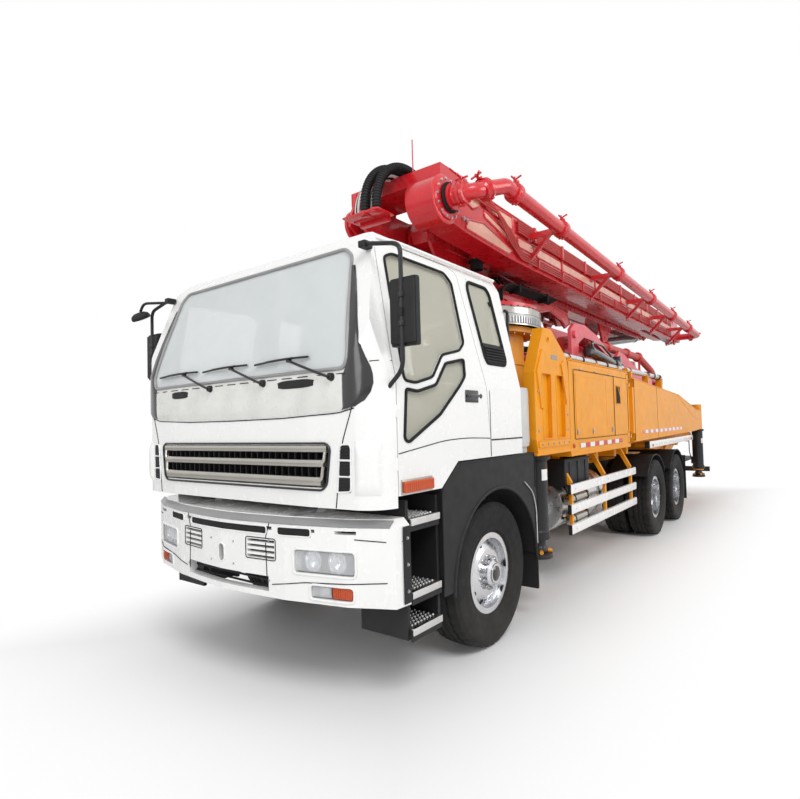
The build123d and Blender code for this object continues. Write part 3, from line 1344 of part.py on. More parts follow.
# Arm 4: from the tip hinge forward, between arm 1 and arm 3
arm_4_outline = [
    (tip_hinge_x - 40, tip_hinge_z + bridge_high), (tip_hinge_x + 450, tip_hinge_z + bridge_high),
    (tip_hinge_x + 1000, arm_4_top + 40),
    (arm_4_tip_x, arm_4_bottom + 130), (arm_4_tip_x, arm_4_bottom), (tip_hinge_x + 400, arm_4_bottom),
    (tip_hinge_x - 40, tip_hinge_z - 60),
]
arm_4 = side_plate(arm_4_outline, lane_4 - half_4, lane_4 + half_4)
arm_4 = arm_4 + crank(tip, False, lane_3, half_3, lane_4 - half_4, lane_4 + half_4)
pipe_4_radius = pipe_radius - 8
pipe_4_z = arm_4_top + 40 + pipe_4_radius + 2 * pipe_stand
pipe_4_ends = (tip_hinge_x + 1150, arm_4_tip_x + pipe_4_radius + 30)
arm_4 = arm_4 + pipe(
    [(pipe_4_ends[0], lane_4, arm_4_top - 20), (pipe_4_ends[0], lane_4, pipe_4_z),
    (pipe_4_ends[1], lane_4, pipe_4_z), (pipe_4_ends[1], lane_4, arm_4_bottom + 20)],
    pipe_4_radius, 130)
arm_4 = arm_4 + rod_z(pipe_4_ends[1], lane_4, arm_4_bottom - 10, arm_4_bottom + 45, pipe_4_radius + 18)
arm_4_drop = (arm_4_top + 40 - arm_4_bottom - 130) / (arm_4_tip_x - tip_hinge_x - 1000)
for x in (-7800, -6300, -4800, -3300, -1900):
    post_top = arm_4_top + 40 - arm_4_drop * (x - tip_hinge_x - 1000)
    arm_4 = arm_4 + block(x - 20, x + 20, lane_4 - 50, lane_4 + 50, post_top - 10, pipe_4_z)
write("arm_4", arm_4)

# Cylinders
barrel_and_rod("cylinder_1", (lift_base_x, lift_base_z, lane_1), lift_eye, barrel_radius + 4, 55, 60, 500)
rear_eye = (rear_hinge_x + crank_eye[0], rear_hinge_z + crank_eye[1])
front_eye = (front_hinge_x - crank_eye[0], front_hinge_z + crank_eye[1])
tip_eye = (tip_hinge_x + crank_eye[0], tip_hinge_z + crank_eye[1])
barrel_and_rod(
    "cylinder_2", (cyl_2_base[0], cyl_2_base[1], lane_1), rear_eye, barrel_radius, rod_radius, 58, base_gland
)
barrel_and_rod("cylinder_3", (cyl_3_base[0], cyl_3_base[1], lane_2), front_eye, 70, 36, 40, base_gland)
barrel_and_rod("cylinder_4", (cyl_4_base[0], cyl_4_base[1], lane_3), tip_eye, 70, 36, 55, base_gland)
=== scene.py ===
import bpy, bmesh, math
from math import cos, sin, pi, radians
from mathutils import Vector, Matrix


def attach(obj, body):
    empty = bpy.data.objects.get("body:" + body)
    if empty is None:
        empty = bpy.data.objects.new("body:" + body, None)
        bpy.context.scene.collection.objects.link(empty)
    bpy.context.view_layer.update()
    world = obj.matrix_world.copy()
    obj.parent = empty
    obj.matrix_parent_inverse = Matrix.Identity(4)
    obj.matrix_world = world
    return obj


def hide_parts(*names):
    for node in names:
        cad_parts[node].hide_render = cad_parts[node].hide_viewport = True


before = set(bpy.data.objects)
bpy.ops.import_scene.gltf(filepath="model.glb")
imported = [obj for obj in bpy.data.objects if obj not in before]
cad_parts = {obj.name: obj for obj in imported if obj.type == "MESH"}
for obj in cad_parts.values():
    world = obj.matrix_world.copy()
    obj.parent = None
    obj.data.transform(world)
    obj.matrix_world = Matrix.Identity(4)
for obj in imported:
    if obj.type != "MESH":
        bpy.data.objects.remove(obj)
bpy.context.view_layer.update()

# Distance from the front axle, where the sizes below are counted from, to the frame's origin
SHIFT = 4.3


# Camera and light
def set_camera():
    data = bpy.data.cameras.new("photo_camera")
    cam = bpy.data.objects.new("photo_camera", data)
    bpy.context.scene.collection.objects.link(cam)
    yaw, pitch, roll = radians(216.592), radians(1.9215), radians(-1.5105)
    forward = Vector((cos(pitch) * cos(yaw), cos(pitch) * sin(yaw), sin(pitch)))
    right = Vector((sin(yaw), -cos(yaw), 0))
    up = right.cross(forward)
    right, up = right * cos(roll) + up * sin(roll), up * cos(roll) - right * sin(roll)
    turn = Matrix((right, up, -forward)).transposed().to_4x4()
    cam.matrix_world = Matrix.Translation((3.619 + SHIFT, 3.169, 1.639)) @ turn
    data.sensor_width = 36
    data.lens = 24.683
    data.shift_x = -0.01857
    data.shift_y = 0.00887
    data.clip_end = 200
    bpy.context.scene.camera = cam


set_camera()


def area_light(name, place, target, size, power):
    data = bpy.data.lights.new(name, "AREA")
    data.shape = "DISK"
    data.size = size
    data.energy = power
    lamp = bpy.data.objects.new(name, data)
    bpy.context.scene.collection.objects.link(lamp)
    lamp.location = place
    lamp.rotation_euler = (Vector(target) - Vector(place)).to_track_quat("-Z", "Y").to_euler()


area_light("key", (9.5, 9.0, 11.0), (2.0, 0, 1.2), 6.0, 900)
area_light("fill", (14.0, 0.5, 5.0), (4.0, 0, 1.6), 6.0, 260)
area_light("side", (-3.0, 13.0, 6.0), (-1.0, 0, 1.5), 7.0, 480)
area_light("back", (-14.0, -8.0, 9.0), (-1.0, 0, 2.0), 7.0, 480)


# Nodes of the finishes and the background
def math_node(tree, operation, first, second=None):
    """Output of a node that works on one or two values, each a socket or a number."""
    node = tree.nodes.new("ShaderNodeMath")
    node.operation = operation
    for value, socket in zip((first, second), node.inputs):
        if isinstance(value, (int, float)):
            socket.default_value = value
        elif value is not None:
            tree.links.new(value, socket)
    return node.outputs[0]


def map_range(tree, source, low, high, from_min, from_max, kind="LINEAR"):
    """Value turned from one range into another."""
    node = tree.nodes.new("ShaderNodeMapRange")
    node.interpolation_type = kind
    limits = {"From Min": from_min, "From Max": from_max, "To Min": low, "To Max": high}
    for name, limit in limits.items():
        node.inputs[name].default_value = limit
    tree.links.new(source, node.inputs["Value"])
    return node.outputs["Result"]


world = bpy.data.worlds.new("studio")
bpy.context.scene.world = world
world.use_nodes = True
tree = world.node_tree
background = tree.nodes["Background"]
background.inputs["Color"].default_value = (1, 1, 1, 1)
rays = tree.nodes.new("ShaderNodeLightPath")
total = rays.outputs["Is Camera Ray"]
for name in ("Is Glossy Ray", "Is Transmission Ray"):
    total = math_node(tree, "MAXIMUM", total, rays.outputs[name])
tree.links.new(map_range(tree, total, 0.40, 1.0, 0, 1), background.inputs["Strength"])
bpy.context.scene.view_settings.view_transform = "Standard"


# Materials
def material(name, colour, rough=0.5, metal=0.0, coat=0.0, vary=0.06, scale=6.0, bump=0.0, bump_scale=60.0,
             dirt=0.0, dirt_top=1.2, alpha=1.0, rough_vary=0.12, wear=0.0, specular=0.5):
    """Finish with mottled colour and uneven gloss; if asked, fine bump, dust near the ground, worn spots."""
    mat = bpy.data.materials.new(name)
    mat.use_nodes = True
    tree = mat.node_tree
    nodes, links = tree.nodes, tree.links
    shader = nodes["Principled BSDF"]
    shader.inputs["Metallic"].default_value = metal
    shader.inputs["Specular IOR Level"].default_value = specular
    if coat:
        shader.inputs["Coat Weight"].default_value = coat
        shader.inputs["Coat Roughness"].default_value = 0.08
    coords = nodes.new("ShaderNodeTexCoord")

    def noise(size, detail=4.0):
        node = nodes.new("ShaderNodeTexNoise")
        node.inputs["Scale"].default_value = size
        node.inputs["Detail"].default_value = detail
        links.new(coords.outputs["Object"], node.inputs["Vector"])
        return node.outputs["Fac"]

    def ramp(source, low, high, from_min=0.3, from_max=0.7):
        return map_range(tree, source, low, high, from_min, from_max)

    def blend(factor, first, second):
        node = nodes.new("ShaderNodeMix")
        node.data_type = "RGBA"
        links.new(factor, node.inputs["Factor"])
        for value, socket in ((first, node.inputs["A"]), (second, node.inputs["B"])):
            if isinstance(value, tuple):
                socket.default_value = value
            else:
                links.new(value, socket)
        return node.outputs["Result"]

    def shade(by):
        return tuple(max(0.0, min(1.0, c * by)) for c in colour[:3]) + (1,)

    mottled = blend(ramp(noise(scale), 0, 1), shade(1 - vary), shade(1 + vary))
    if wear:
        spots = math_node(tree, "MULTIPLY", ramp(noise(38, 8), 0, 1, 0.58, 0.66), wear)
        mottled = blend(spots, mottled, (0.16, 0.13, 0.11, 1))
    if dirt:
        split = nodes.new("ShaderNodeSeparateXYZ")
        links.new(coords.outputs["Object"], split.inputs["Vector"])
        height = ramp(split.outputs["Z"], dirt, 0, 0.1, dirt_top)
        dust = math_node(tree, "MULTIPLY", height, ramp(noise(2.5, 6), 0.2, 1))
        mottled = blend(dust, mottled, (0.42, 0.38, 0.33, 1))
    links.new(mottled, shader.inputs["Base Color"])
    links.new(ramp(noise(scale * 2.2), max(0.02, rough - rough_vary / 2), min(1, rough + rough_vary / 2)),
        shader.inputs["Roughness"])
    if bump:
        node = nodes.new("ShaderNodeBump")
        node.inputs["Strength"].default_value = bump
        node.inputs["Distance"].default_value = 0.002
        links.new(noise(bump_scale, 3), node.inputs["Height"])
        links.new(node.outputs["Normal"], shader.inputs["Normal"])
    if alpha < 1:
        shader.inputs["Alpha"].default_value = alpha
    return mat


white = material("white_paint", (0.86, 0.86, 0.85), 0.26, coat=0.5, vary=0.01, rough_vary=0.06, dirt=0.05,
    dirt_top=1.1)
yellow = material("yellow_paint", (0.80, 0.31, 0.006), 0.42, coat=0.12, specular=0.25, vary=0.05, bump=0.04,
    bump_scale=500, wear=0.03, dirt=0.02, dirt_top=1.6)
red = material("boom_red", (0.6, 0.010, 0.018), 0.3, coat=0.4, vary=0.08, bump=0.06, bump_scale=500,
    wear=0.05)
# Salmon of the boom's side panels, the boom rest and the valve blocks: partly the panels' own pale paint,
# partly painted highlight, the reflection on their flat faces put into the colour.
pink_and_painted_highlight = material("boom_side_pink_and_painted_highlight", (0.8, 0.43, 0.33), 0.38, coat=0.3, vary=0.1, scale=9, bump=0.04, bump_scale=300,
    wear=0.05)
rose = material("frame_rose", (0.68, 0.075, 0.105), 0.36, coat=0.2, vary=0.08, scale=9, bump=0.04,
    bump_scale=300, wear=0.04)
tube_red = material("tube_red", (0.5, 0.05, 0.045), 0.42, vary=0.1, scale=9, bump=0.05, bump_scale=300)
dark = material("chassis_black", (0.018, 0.018, 0.019), 0.5, specular=0.3, vary=0.2, bump=0.15,
    bump_scale=220, dirt=0.05, dirt_top=1.2)
plastic = material("grained_plastic", (0.014, 0.014, 0.015), 0.55, specular=0.25, vary=0.15, bump=0.3,
    bump_scale=700, dirt=0.03, dirt_top=1.0)
rubber = material("tyre_rubber", (0.013, 0.013, 0.013), 0.72, specular=0.2, vary=0.25, scale=10, bump=0.3,
    bump_scale=260, dirt=0.07, dirt_top=0.8)
silver = material("bare_aluminium", (0.66, 0.66, 0.65), 0.3, metal=1.0, vary=0.05, scale=9, bump=0.02,
    bump_scale=90)
steel = material("zinc_steel", (0.5, 0.5, 0.51), 0.34, metal=1.0, vary=0.1, scale=20, bump=0.05,
    bump_scale=240)
chrome = material("chromed_rod", (0.84, 0.85, 0.87), 0.08, metal=1.0, vary=0.02, rough_vary=0.05)
grey = material("ring_grey", (0.42, 0.42, 0.41), 0.4, metal=0.4, vary=0.1, bump=0.06, bump_scale=160)
rim_white = material("wheel_alloy", (0.7, 0.71, 0.73), 0.25, metal=1.0, vary=0.05, bump=0.03, bump_scale=160,
    dirt=0.08, dirt_top=0.9)
black_gloss = material("black_gloss", (0.012, 0.012, 0.013), 0.2, coat=0.5, vary=0.1, bump=0.05,
    bump_scale=400)
glass = material("tinted_glass", (0.78, 0.77, 0.64), 0.04, vary=0.02, rough_vary=0.02, alpha=0.38)
screen_glass = material("windscreen_glass", (0.86, 0.90, 0.91), 0.03, vary=0.02, rough_vary=0.02, alpha=0.56)
trim_cloth = material("seat_cloth", (0.2, 0.21, 0.22), 0.85, vary=0.2, scale=60, bump=0.6, bump_scale=500)
cab_trim = material("cab_trim", (0.26, 0.26, 0.25), 0.6, vary=0.1, bump=0.3, bump_scale=500)
dash_grey = material("dash_grey", (0.13, 0.13, 0.13), 0.6, vary=0.1, bump=0.35, bump_scale=500)
lens = material("lamp_lens", (0.8, 0.82, 0.84), 0.06, vary=0.02, rough_vary=0.04, alpha=0.35)
amber = material("amber_lens", (0.52, 0.065, 0.006), 0.15, vary=0.05, coat=0.2)
red_lens = material("red_lens", (0.6, 0.01, 0.01), 0.15, vary=0.05, coat=0.5)
cowl_grey = material("cowl_pale", (0.70, 0.70, 0.67), 0.3, vary=0.08, bump=0.06, bump_scale=400, coat=0.3)
satin_black = material("satin_black", (0.02, 0.02, 0.02), 0.35, metal=0.3, vary=0.1, bump=0.05,
    bump_scale=300)
bar_silver = material("bar_silver", (0.46, 0.44, 0.40), 0.22, metal=1.0, vary=0.05, scale=6, bump=0.01,
    bump_scale=60)
frame_grey = material("frame_grey", (0.3, 0.3, 0.3), 0.35, metal=0.3, vary=0.08, bump=0.05, bump_scale=300)
label_white = material("label_white", (0.8, 0.8, 0.78), 0.4, vary=0.04, bump=0.05, bump_scale=300)
frame_pale = material("housing_pale", (0.55, 0.56, 0.55), 0.35, coat=0.2, vary=0.06, bump=0.03,
    bump_scale=200)
# Black of the gaps between panels, and painted shade along the door crease.
joint_and_crease_shade_black = material("joint_and_crease_shade_black", (0.015, 0.015, 0.015), 0.7, specular=0.2, vary=0.2, bump=0.1,
    bump_scale=300)
paint_black = material("leg_black", (0.014, 0.014, 0.016), 0.42, coat=0.1, specular=0.3, vary=0.15, bump=0.1,
    bump_scale=300, dirt=0.05, dirt_top=0.9)


def tagged(names, tags=("_l", "_r")):
    """Each name with each tag behind it."""
    return [name + tag for name in names for tag in tags]


REAR_TAGS = ("_1l", "_1r", "_2l", "_2r")
NODE_FINISH = {
    white: ["cab_shell", "door_l", "door_r", "bumper", "side_rails"],
    yellow: ["deck", "side_boxes", "pedestal", "hopper"] + tagged(["front_outrigger", "rear_outrigger"]),
    red: ["turret", "arm_1", "arm_2", "arm_3", "arm_4"],
    dark: ["chassis_frame", "engine_block", "axles", "knuckle_l", "knuckle_r", "agitator", "hopper_grate"],
    plastic: ["mudguards", "mirrors", "grille"],
    cab_trim: ["cab_interior"],
    rubber: tagged(["front_tyre"]) + tagged(["rear_tyres"], REAR_TAGS),
    rim_white: tagged(["front_rim"]) + tagged(["rear_rims"], REAR_TAGS),
    silver: ["tanks", "lamps"],
    grey: ["slewing_ring", "pump_line"],
    black_gloss: [f"cylinder_{k}_barrel" for k in range(1, 5)],
    chrome: [f"cylinder_{k}_rod" for k in range(1, 5)],
    paint_black: tagged(["front_jack", "rear_jack"]),
    glass: ["door_glass_l", "door_glass_r", "cab_glass"],
}
for finish, names in NODE_FINISH.items():
    for name in names:
        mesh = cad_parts[name].data
        mesh.materials.clear()
        mesh.materials.append(finish)


# Building small parts
def quads(form, rows, closed=True, round_rows=True):
    """Faces between rows of vertices, with the last row joined to the first and the rows closed, if asked."""
    count, width = len(rows), len(rows[0])
    for i in range(count if closed else count - 1):
        here, there = rows[i], rows[(i + 1) % count]
        for k in range(width if round_rows else width - 1):
            after = (k + 1) % width
            form.faces.new((here[k], there[k], there[after], here[after]))


def soften(form, edges, offset, segments=2):
    """Rounds the edges of a form."""
    bmesh.ops.bevel(form, geom=edges, offset=offset, segments=segments, profile=0.7, affect="EDGES",
                    clamp_overlap=True)


def as_object(name, form, finish, sharp=32):
    """Puts a form into the scene, smooth but for edges sharper than an angle in degrees."""
    bmesh.ops.recalc_face_normals(form, faces=form.faces[:])
    mesh = bpy.data.meshes.new(name)
    form.to_mesh(mesh)
    form.free()
    mesh.materials.append(finish)
    mesh.shade_smooth()
    if sharp:
        mesh.set_sharp_from_angle(angle=radians(sharp))
    piece = bpy.data.objects.new(name, mesh)
    bpy.context.scene.collection.objects.link(piece)
    return piece


def turns(count, first=0.0):
    """Angles that divide a full turn evenly."""
    return [2 * pi * (k + first) / count for k in range(count)]


def spread(start, end, parts):
    """Values from start to end, evenly spaced."""
    return [start + (end - start) * k / parts for k in range(parts + 1)]


def frame_of(a0, a1, b0, b1):
    """Corners of a rectangle, in order."""
    return [(a0, b0), (a1, b0), (a1, b1), (a0, b1)]


def smooth_line(points, bend, steps, closed=False):
    """Line through points with each corner rounded."""
    if len(points) < 3:
        return points
    out = []
    count = len(points)
    for i, p in enumerate(points):
        if not closed and i in (0, count - 1):
            out.append(p)
            continue
        before, after = points[i - 1], points[(i + 1) % count]
        cut = min(bend, (p - before).length * 0.48, (after - p).length * 0.48)
        a = p + (before - p).normalized() * cut
        b = p + (after - p).normalized() * cut
        for k in range(steps + 1):
            t = k / steps
            out.append(a * (1 - t) ** 2 + p * 2 * t * (1 - t) + b * t ** 2)
    return out


class Group:
    """One mesh of many small forms with one finish, riding on one body, in metres from the front axle."""

    made = []
    side = 1

    def __init__(self, name, finish, body, hides=()):
        self.name, self.finish, self.body, self.hides = name, finish, body, hides
        self.form = bmesh.new()
        Group.made.append(self)

    def at(self, point):
        """Place or direction, mirrored while the right side is made."""
        return Vector((point[0], self.side * point[1], point[2]))

    def new(self, point):
        return self.form.verts.new(point)

    def frame_at(self, centre, axis):
        """Matrix that puts a form's Z along an axis at a place."""
        turn = self.at(axis).normalized().to_track_quat("Z", "Y").to_matrix().to_4x4()
        return Matrix.Translation(self.at(centre)) @ turn

    def take(self, form):
        """Copies a small form into the mesh, which is quicker than working on the whole mesh."""
        copies = {v: self.new(v.co) for v in form.verts}
        for face in form.faces:
            self.form.faces.new([copies[v] for v in face.verts])
        form.free()

    def box(self, low, high, bevel=0.004, turn=None, pivot=None):
        size = [max(1e-4, abs(b - a)) for a, b in zip(low, high)]
        centre = self.at([(a + b) / 2 for a, b in zip(low, high)])
        form = bmesh.new()
        bmesh.ops.create_cube(form, size=1.0)
        bmesh.ops.scale(form, vec=size, verts=form.verts)
        bmesh.ops.translate(form, vec=centre, verts=form.verts)
        if turn is not None:
            bmesh.ops.rotate(form, cent=Vector(pivot), matrix=turn, verts=form.verts)
        if bevel:
            offset = min(bevel, min(size) * 0.45)
            soften(form, form.edges[:], offset, 2 if offset > 0.003 else 1)
        self.take(form)

    def rod(self, start, end, radius, sides=20, top=None, bevel=0.0):
        """Round bar, or a cone where the top has a radius of its own."""
        start, end = self.at(start), self.at(end)
        axis = end - start
        place = Matrix.Translation((start + end) / 2) @ axis.to_track_quat("Z", "Y").to_matrix().to_4x4()
        form = bmesh.new()
        bmesh.ops.create_cone(form, cap_ends=True, segments=sides, radius1=radius,
                              radius2=radius if top is None else top, depth=axis.length, matrix=place)
        if bevel:
            soften(form, [e for e in form.edges if any(len(f.verts) > 4 for f in e.link_faces)], bevel)
        self.take(form)

    def bolt(self, place, axis, size=0.012, height=0.01):
        """Hexagon head on a round washer."""
        axis = Vector(axis).normalized()
        place = Vector(place)
        self.rod(place, place + axis * height * 0.25, size * 1.25, 16)
        self.rod(place + axis * height * 0.2, place + axis * height, size, 6)
        self.rod(place + axis * height * 0.9, place + axis * height * 1.15, size * 0.55, 10)

    def ring(self, centre, axis, radius, thick, sides=48, cross=12):
        """Round bar bent to a ring."""
        place = self.frame_at(centre, axis)
        rows = []
        for a in turns(sides):
            spots = [(radius + thick * cos(b), thick * sin(b)) for b in turns(cross)]
            rows.append([self.new(place @ Vector((r * cos(a), r * sin(a), h))) for r, h in spots])
        quads(self.form, rows)

    def lathe(self, profile, centre, axis, sides=48):
        """Profile of (radius, height) turned about an axis."""
        place = self.frame_at(centre, axis)
        rows = [[self.new(place @ Vector((r * cos(a), r * sin(a), h))) for r, h in profile]
            for a in turns(sides)]
        quads(self.form, rows, True, False)
        for j in (0, len(profile) - 1):
            if profile[j][0] > 1e-6:
                rim = [row[j] for row in rows]
                self.form.faces.new(rim if j else rim[::-1])

    def plate(self, points, low, high, axis="Y", bevel=0.0):
        """Flat outline pushed along an axis. Points are (X, Z) for Y and (Y, Z) for X."""
        def place(p, t):
            return self.at((p[0], t, p[1]) if axis == "Y" else (t, p[0], p[1]))
        first = [self.new(place(p, low)) for p in points]
        second = [self.new(place(p, high)) for p in points]
        faces = [self.form.faces.new(first), self.form.faces.new(second[::-1])]
        for i, (a, b) in enumerate(zip(first, second)):
            after = (i + 1) % len(points)
            self.form.faces.new((a, b, second[after], first[after]))
        if bevel:
            soften(self.form, list({e for f in faces for e in f.edges}), bevel)

    def path(self, points, radius, sides=12, bend=0.06, steps=6, closed=False):
        """Round bar or hose along points, with rounded corners."""
        line = smooth_line([self.at(p) for p in points], bend, steps, closed)
        count = len(line)
        rows = []
        normal = None
        for i, p in enumerate(line):
            if closed:
                t = (line[(i + 1) % count] - line[i - 1]).normalized()
            else:
                t = (line[min(i + 1, count - 1)] - line[max(i - 1, 0)]).normalized()
            if normal is None:
                normal = t.orthogonal().normalized()
            normal = (normal - t * normal.dot(t)).normalized()
            across = t.cross(normal)
            rows.append([self.new(p + (normal * cos(a) + across * sin(a)) * radius) for a in turns(sides)])
        quads(self.form, rows, closed)
        if not closed:
            self.form.faces.new(rows[0][::-1])
            self.form.faces.new(rows[-1])

    def sheet(self, grid, push):
        """Closed skin from a grid of points and the same grid pushed by a vector."""
        push = self.at(push)
        outer = [[self.new(self.at(p)) for p in row] for row in grid]
        inner = [[self.new(self.at(p) + push) for p in row] for row in grid]
        quads(self.form, outer, False, False)
        quads(self.form, inner, False, False)
        n, m = len(grid), len(grid[0])
        edge = [(0, j) for j in range(m)] + [(i, m - 1) for i in range(1, n)]
        edge += [(n - 1, j) for j in range(m - 2, -1, -1)] + [(i, 0) for i in range(n - 2, 0, -1)]
        for (i, j), (k, l) in zip(edge, edge[1:] + edge[:1]):
            self.form.faces.new((outer[i][j], outer[k][l], inner[k][l], inner[i][j]))

    def done(self):
        bmesh.ops.translate(self.form, vec=(SHIFT, 0, 0), verts=self.form.verts[:])
        piece = as_object(self.name, self.form, self.finish)
        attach(piece, self.body)
        if self.hides:
            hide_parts(*self.hides)


def both_sides():
    """Runs a loop for the left side and again, with every Y mirrored, for the right side."""
    for Group.side, tag in ((1, "l"), (-1, "r")):
        yield tag
    Group.side = 1


# Wheels
TYRE = 0.53
REAR_AXLES = (-4.7, -6.07)
TREAD = 0.128
GROOVES = (4, 5, 9, 10, 14, 15)


def tyre_piece(name, x, centres, body, node, lugs):
    """Tyres on one hub: grooved tread, shoulder lugs, rounded walls with rings and a bead."""
    form = bmesh.new()
    half = [0.0, 0.014, 0.02, 0.046, 0.052, 0.066, 0.072, 0.095, 0.112, TREAD]
    columns = [-y for y in reversed(half)] + half
    slim = 1.0 if lugs else 0.965
    shoulder = (0.526, 0.516, 0.5) if lugs else (0.521, 0.505, 0.498)
    wall = list(zip((TREAD, 0.139, 0.1435), shoulder))
    wall += [(0.1435, 0.494), (0.1475, 0.49), (0.15, 0.46), (0.15, 0.425), (0.1485, 0.418), (0.1485, 0.408),
             (0.148, 0.385), (0.141, 0.35), (0.132, 0.325), (0.134, 0.318), (0.128, 0.305), (0.112, 0.294)]
    for centre in centres:
        rows = []
        for i, a in enumerate(turns(156)):
            zig = 0.0035 if (i // 2) % 2 else -0.0035
            cut = lugs and i % 6 in (0, 1)
            sipe = (not lugs) and i % 4 == 0
            side_ring = [(y * slim, r - (0.012 if cut and r > 0.5 else 0.004 if sipe and r > 0.505 else 0))
                         for y, r in wall]
            ring = [(-y, r) for y, r in reversed(side_ring)]
            for k, y in enumerate(columns):
                r = TYRE - (0.0035 if lugs else 0.009) * (abs(y) / TREAD) ** 2
                r -= 0.013 * (k in GROOVES) + 0.013 * (cut and abs(y) > 0.05)
                r -= 0.006 * (sipe and abs(y) > 0.09)
                ring.append(((y + (zig if abs(y) < 0.1 else 0)) * slim, r))
            ring += side_ring
            rows.append([form.verts.new((x + SHIFT + r * cos(a), centre + y, TYRE + r * sin(a)))
                for y, r in ring])
        quads(form, rows)
    piece = as_object(name, form, rubber, 38)
    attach(piece, body)
    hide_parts(node)


def wheel_nuts(name, x, y, side, body):
    """Ten nuts with their studs on a wheel."""
    nuts = Group(name, steel, body)
    for a in turns(10, 0.5):
        place = (x + 0.111 * cos(a), y, TYRE + 0.111 * sin(a))
        nuts.bolt(place, (0, side, 0), 0.017, 0.024)
        nuts.rod(place, (place[0], y + side * 0.036, place[2]), 0.0085, 12)


for side, tag in ((1, "l"), (-1, "r")):
    body = f"front_wheel_{tag}"
    tyre_piece(f"front_tread_{tag}", 0, [side * 1.03], body, f"front_tyre_{tag}", False)
    wheel_nuts(f"front_nuts_{tag}", 0, side * 1.124, side, body)
    for number, axle in enumerate(REAR_AXLES, 1):
        body = f"rear_wheels_{number}{tag}"
        spots = [side * 1.096, side * 0.754]
        tyre_piece(f"rear_tread_{number}{tag}", axle, spots, body, f"rear_tyres_{number}{tag}", True)
        wheel_nuts(f"rear_nuts_{number}{tag}", axle, side * 1.078, side, body)


# Cab
def along(table, t):
    """Value at t in a table of (t, value) rows."""
    for (a, va), (b, vb) in zip(table, table[1:]):
        if t <= b:
            return va + (vb - va) * max(0.0, t - a) / (b - a)
    return table[-1][1]


CAB_PROFILE = [(0, 1.4), (1.95, 1.4), (2.27, 1.3195), (2.75, 1.17), (2.84, 1.08), (2.861, 0.91)]
CAB_SIDE = [(0, 1.24), (1.90, 1.24), (2.71, 1.07), (2.83, 1.0), (2.86, 0.81)]
BUMPER_PLAN = [(0, 1.5), (0.22, 1.488), (0.56, 1.45), (0.98, 1.35), (1.235, 1.23), (1.245, 1.11)]
CORNER = (1.181, 1.05, 0.19)


def front_x(y, z):
    """Face of the cab at a place across the truck and a height."""
    a = abs(y)
    if a <= 1.0666:
        plan = along([(0, 1.4), (0.72, 1.4), (1.24, 1.355)], a)
    else:
        plan = CORNER[0] + math.sqrt(max(0.0, CORNER[2] ** 2 - (a - CORNER[1]) ** 2))
    return min(along(CAB_PROFILE, z), plan)


def side_y(z):
    return along(CAB_SIDE, z)


def bumper_x(y):
    return along(BUMPER_PLAN, abs(y))


def on_face(points, lift):
    """Points (Y, Z) put on the cab's face and lifted off it."""
    return [(front_x(y, z) + lift, y, z) for y, z in points]


def on_side(points, lift):
    """Points (X, Z) put on the cab's left side and lifted off it."""
    return [(x, side_y(z) + lift, z) for x, z in points]


def on_bumper(points, lift):
    """Points (Y, Z) put on the bumper and lifted off it."""
    return [(bumper_x(y) + lift, y, z) for y, z in points]


def divided(points, step=0.1, closed=True):
    """Outline with its long edges divided."""
    out = []
    ends = points[1:] + points[:1] if closed else points[1:]
    for a, b in zip(points, ends):
        n = max(1, round(math.dist(a, b) / step))
        out += [tuple(p + (q - p) * k / n for p, q in zip(a, b)) for k in range(n)]
    return out if closed else out + [points[-1]]


def resampled(points, count):
    """Open line through points, as count points an equal way apart."""
    lengths = [0]
    for a, b in zip(points, points[1:]):
        lengths.append(lengths[-1] + math.dist(a, b))
    out = []
    for k in range(count):
        t = lengths[-1] * k / (count - 1)
        out.append(tuple(along([(l, p[i]) for l, p in zip(lengths, points)], t)
            for i in range(len(points[0]))))
    return out


def mirrored_line(points):
    """Half outline in (Y, Z) from the middle, continued to the other side."""
    return [(-y, z) for y, z in points[:0:-1]] + points


WINDSCREEN = mirrored_line([(0, 2.73), (0.86, 2.73), (0.93, 2.67), (1.04, 2.04), (1.01, 1.97)])
windscreen_gasket = Group("windscreen_gasket", frame_grey, "cab")
windscreen_gasket.path(on_face(divided(WINDSCREEN), 0.002), 0.012, 10, 0.03, 4, True)


def lifted(y, z, lift):
    """Place on the cab's face, lifted off it square to the rounded corner."""
    x = front_x(y, z)
    a = abs(y)
    if a <= CORNER[1] or z > 1.97:
        return (x + lift, y, z)
    turn = math.atan2(a - CORNER[1], x - CORNER[0])
    reach = CORNER[2] + lift
    return (CORNER[0] + reach * cos(turn), math.copysign(CORNER[1] + reach * sin(turn), y), z)


# Band under the windscreen and the black corners that run up beside it
cowl = Group("cowl_band", cowl_grey, "cab")
grid = []
for k in range(9):
    t = k / 8
    row = []
    for j in range(41):
        y = -1.0 + 0.05 * j
        low = along([(0, 1.706), (0.5, 1.71), (0.957, 1.728), (1.0, 1.738)], abs(y))
        row.append(lifted(y, low + (1.962 - low) * t, 0.009 - 0.006 * abs(2 * t - 1) ** 6))
    grid.append(row)
cowl.sheet(grid, (-0.006, 0, 0))
corner = Group("cowl_corners", black_gloss, "cab")
CORNER_EDGES = ((1.736, 0.995, 1.0), (1.752, 0.995, 1.085), (1.785, 0.995, 1.14), (1.83, 0.995, 1.168),
    (1.88, 0.996, 1.18), (1.93, 1.0, 1.178), (1.97, 1.02, 1.17), (2.02, 1.035, 1.152), (2.08, 1.04, 1.13),
    (2.2, 1.02, 1.093), (2.35, 0.994, 1.054), (2.5, 0.967, 1.01), (2.6, 0.95, 0.975))
for _ in both_sides():
    grid = []
    for z, y0, y1 in CORNER_EDGES:
        grid.append([lifted(y0 + (y1 - y0) * k / 6, z, 0.011 - 0.008 * (k in (0, 6))) for k in range(7)])
    corner.sheet(grid, (-0.007, -0.003, 0))
grips = Group("cowl_grips", plastic, "cab")


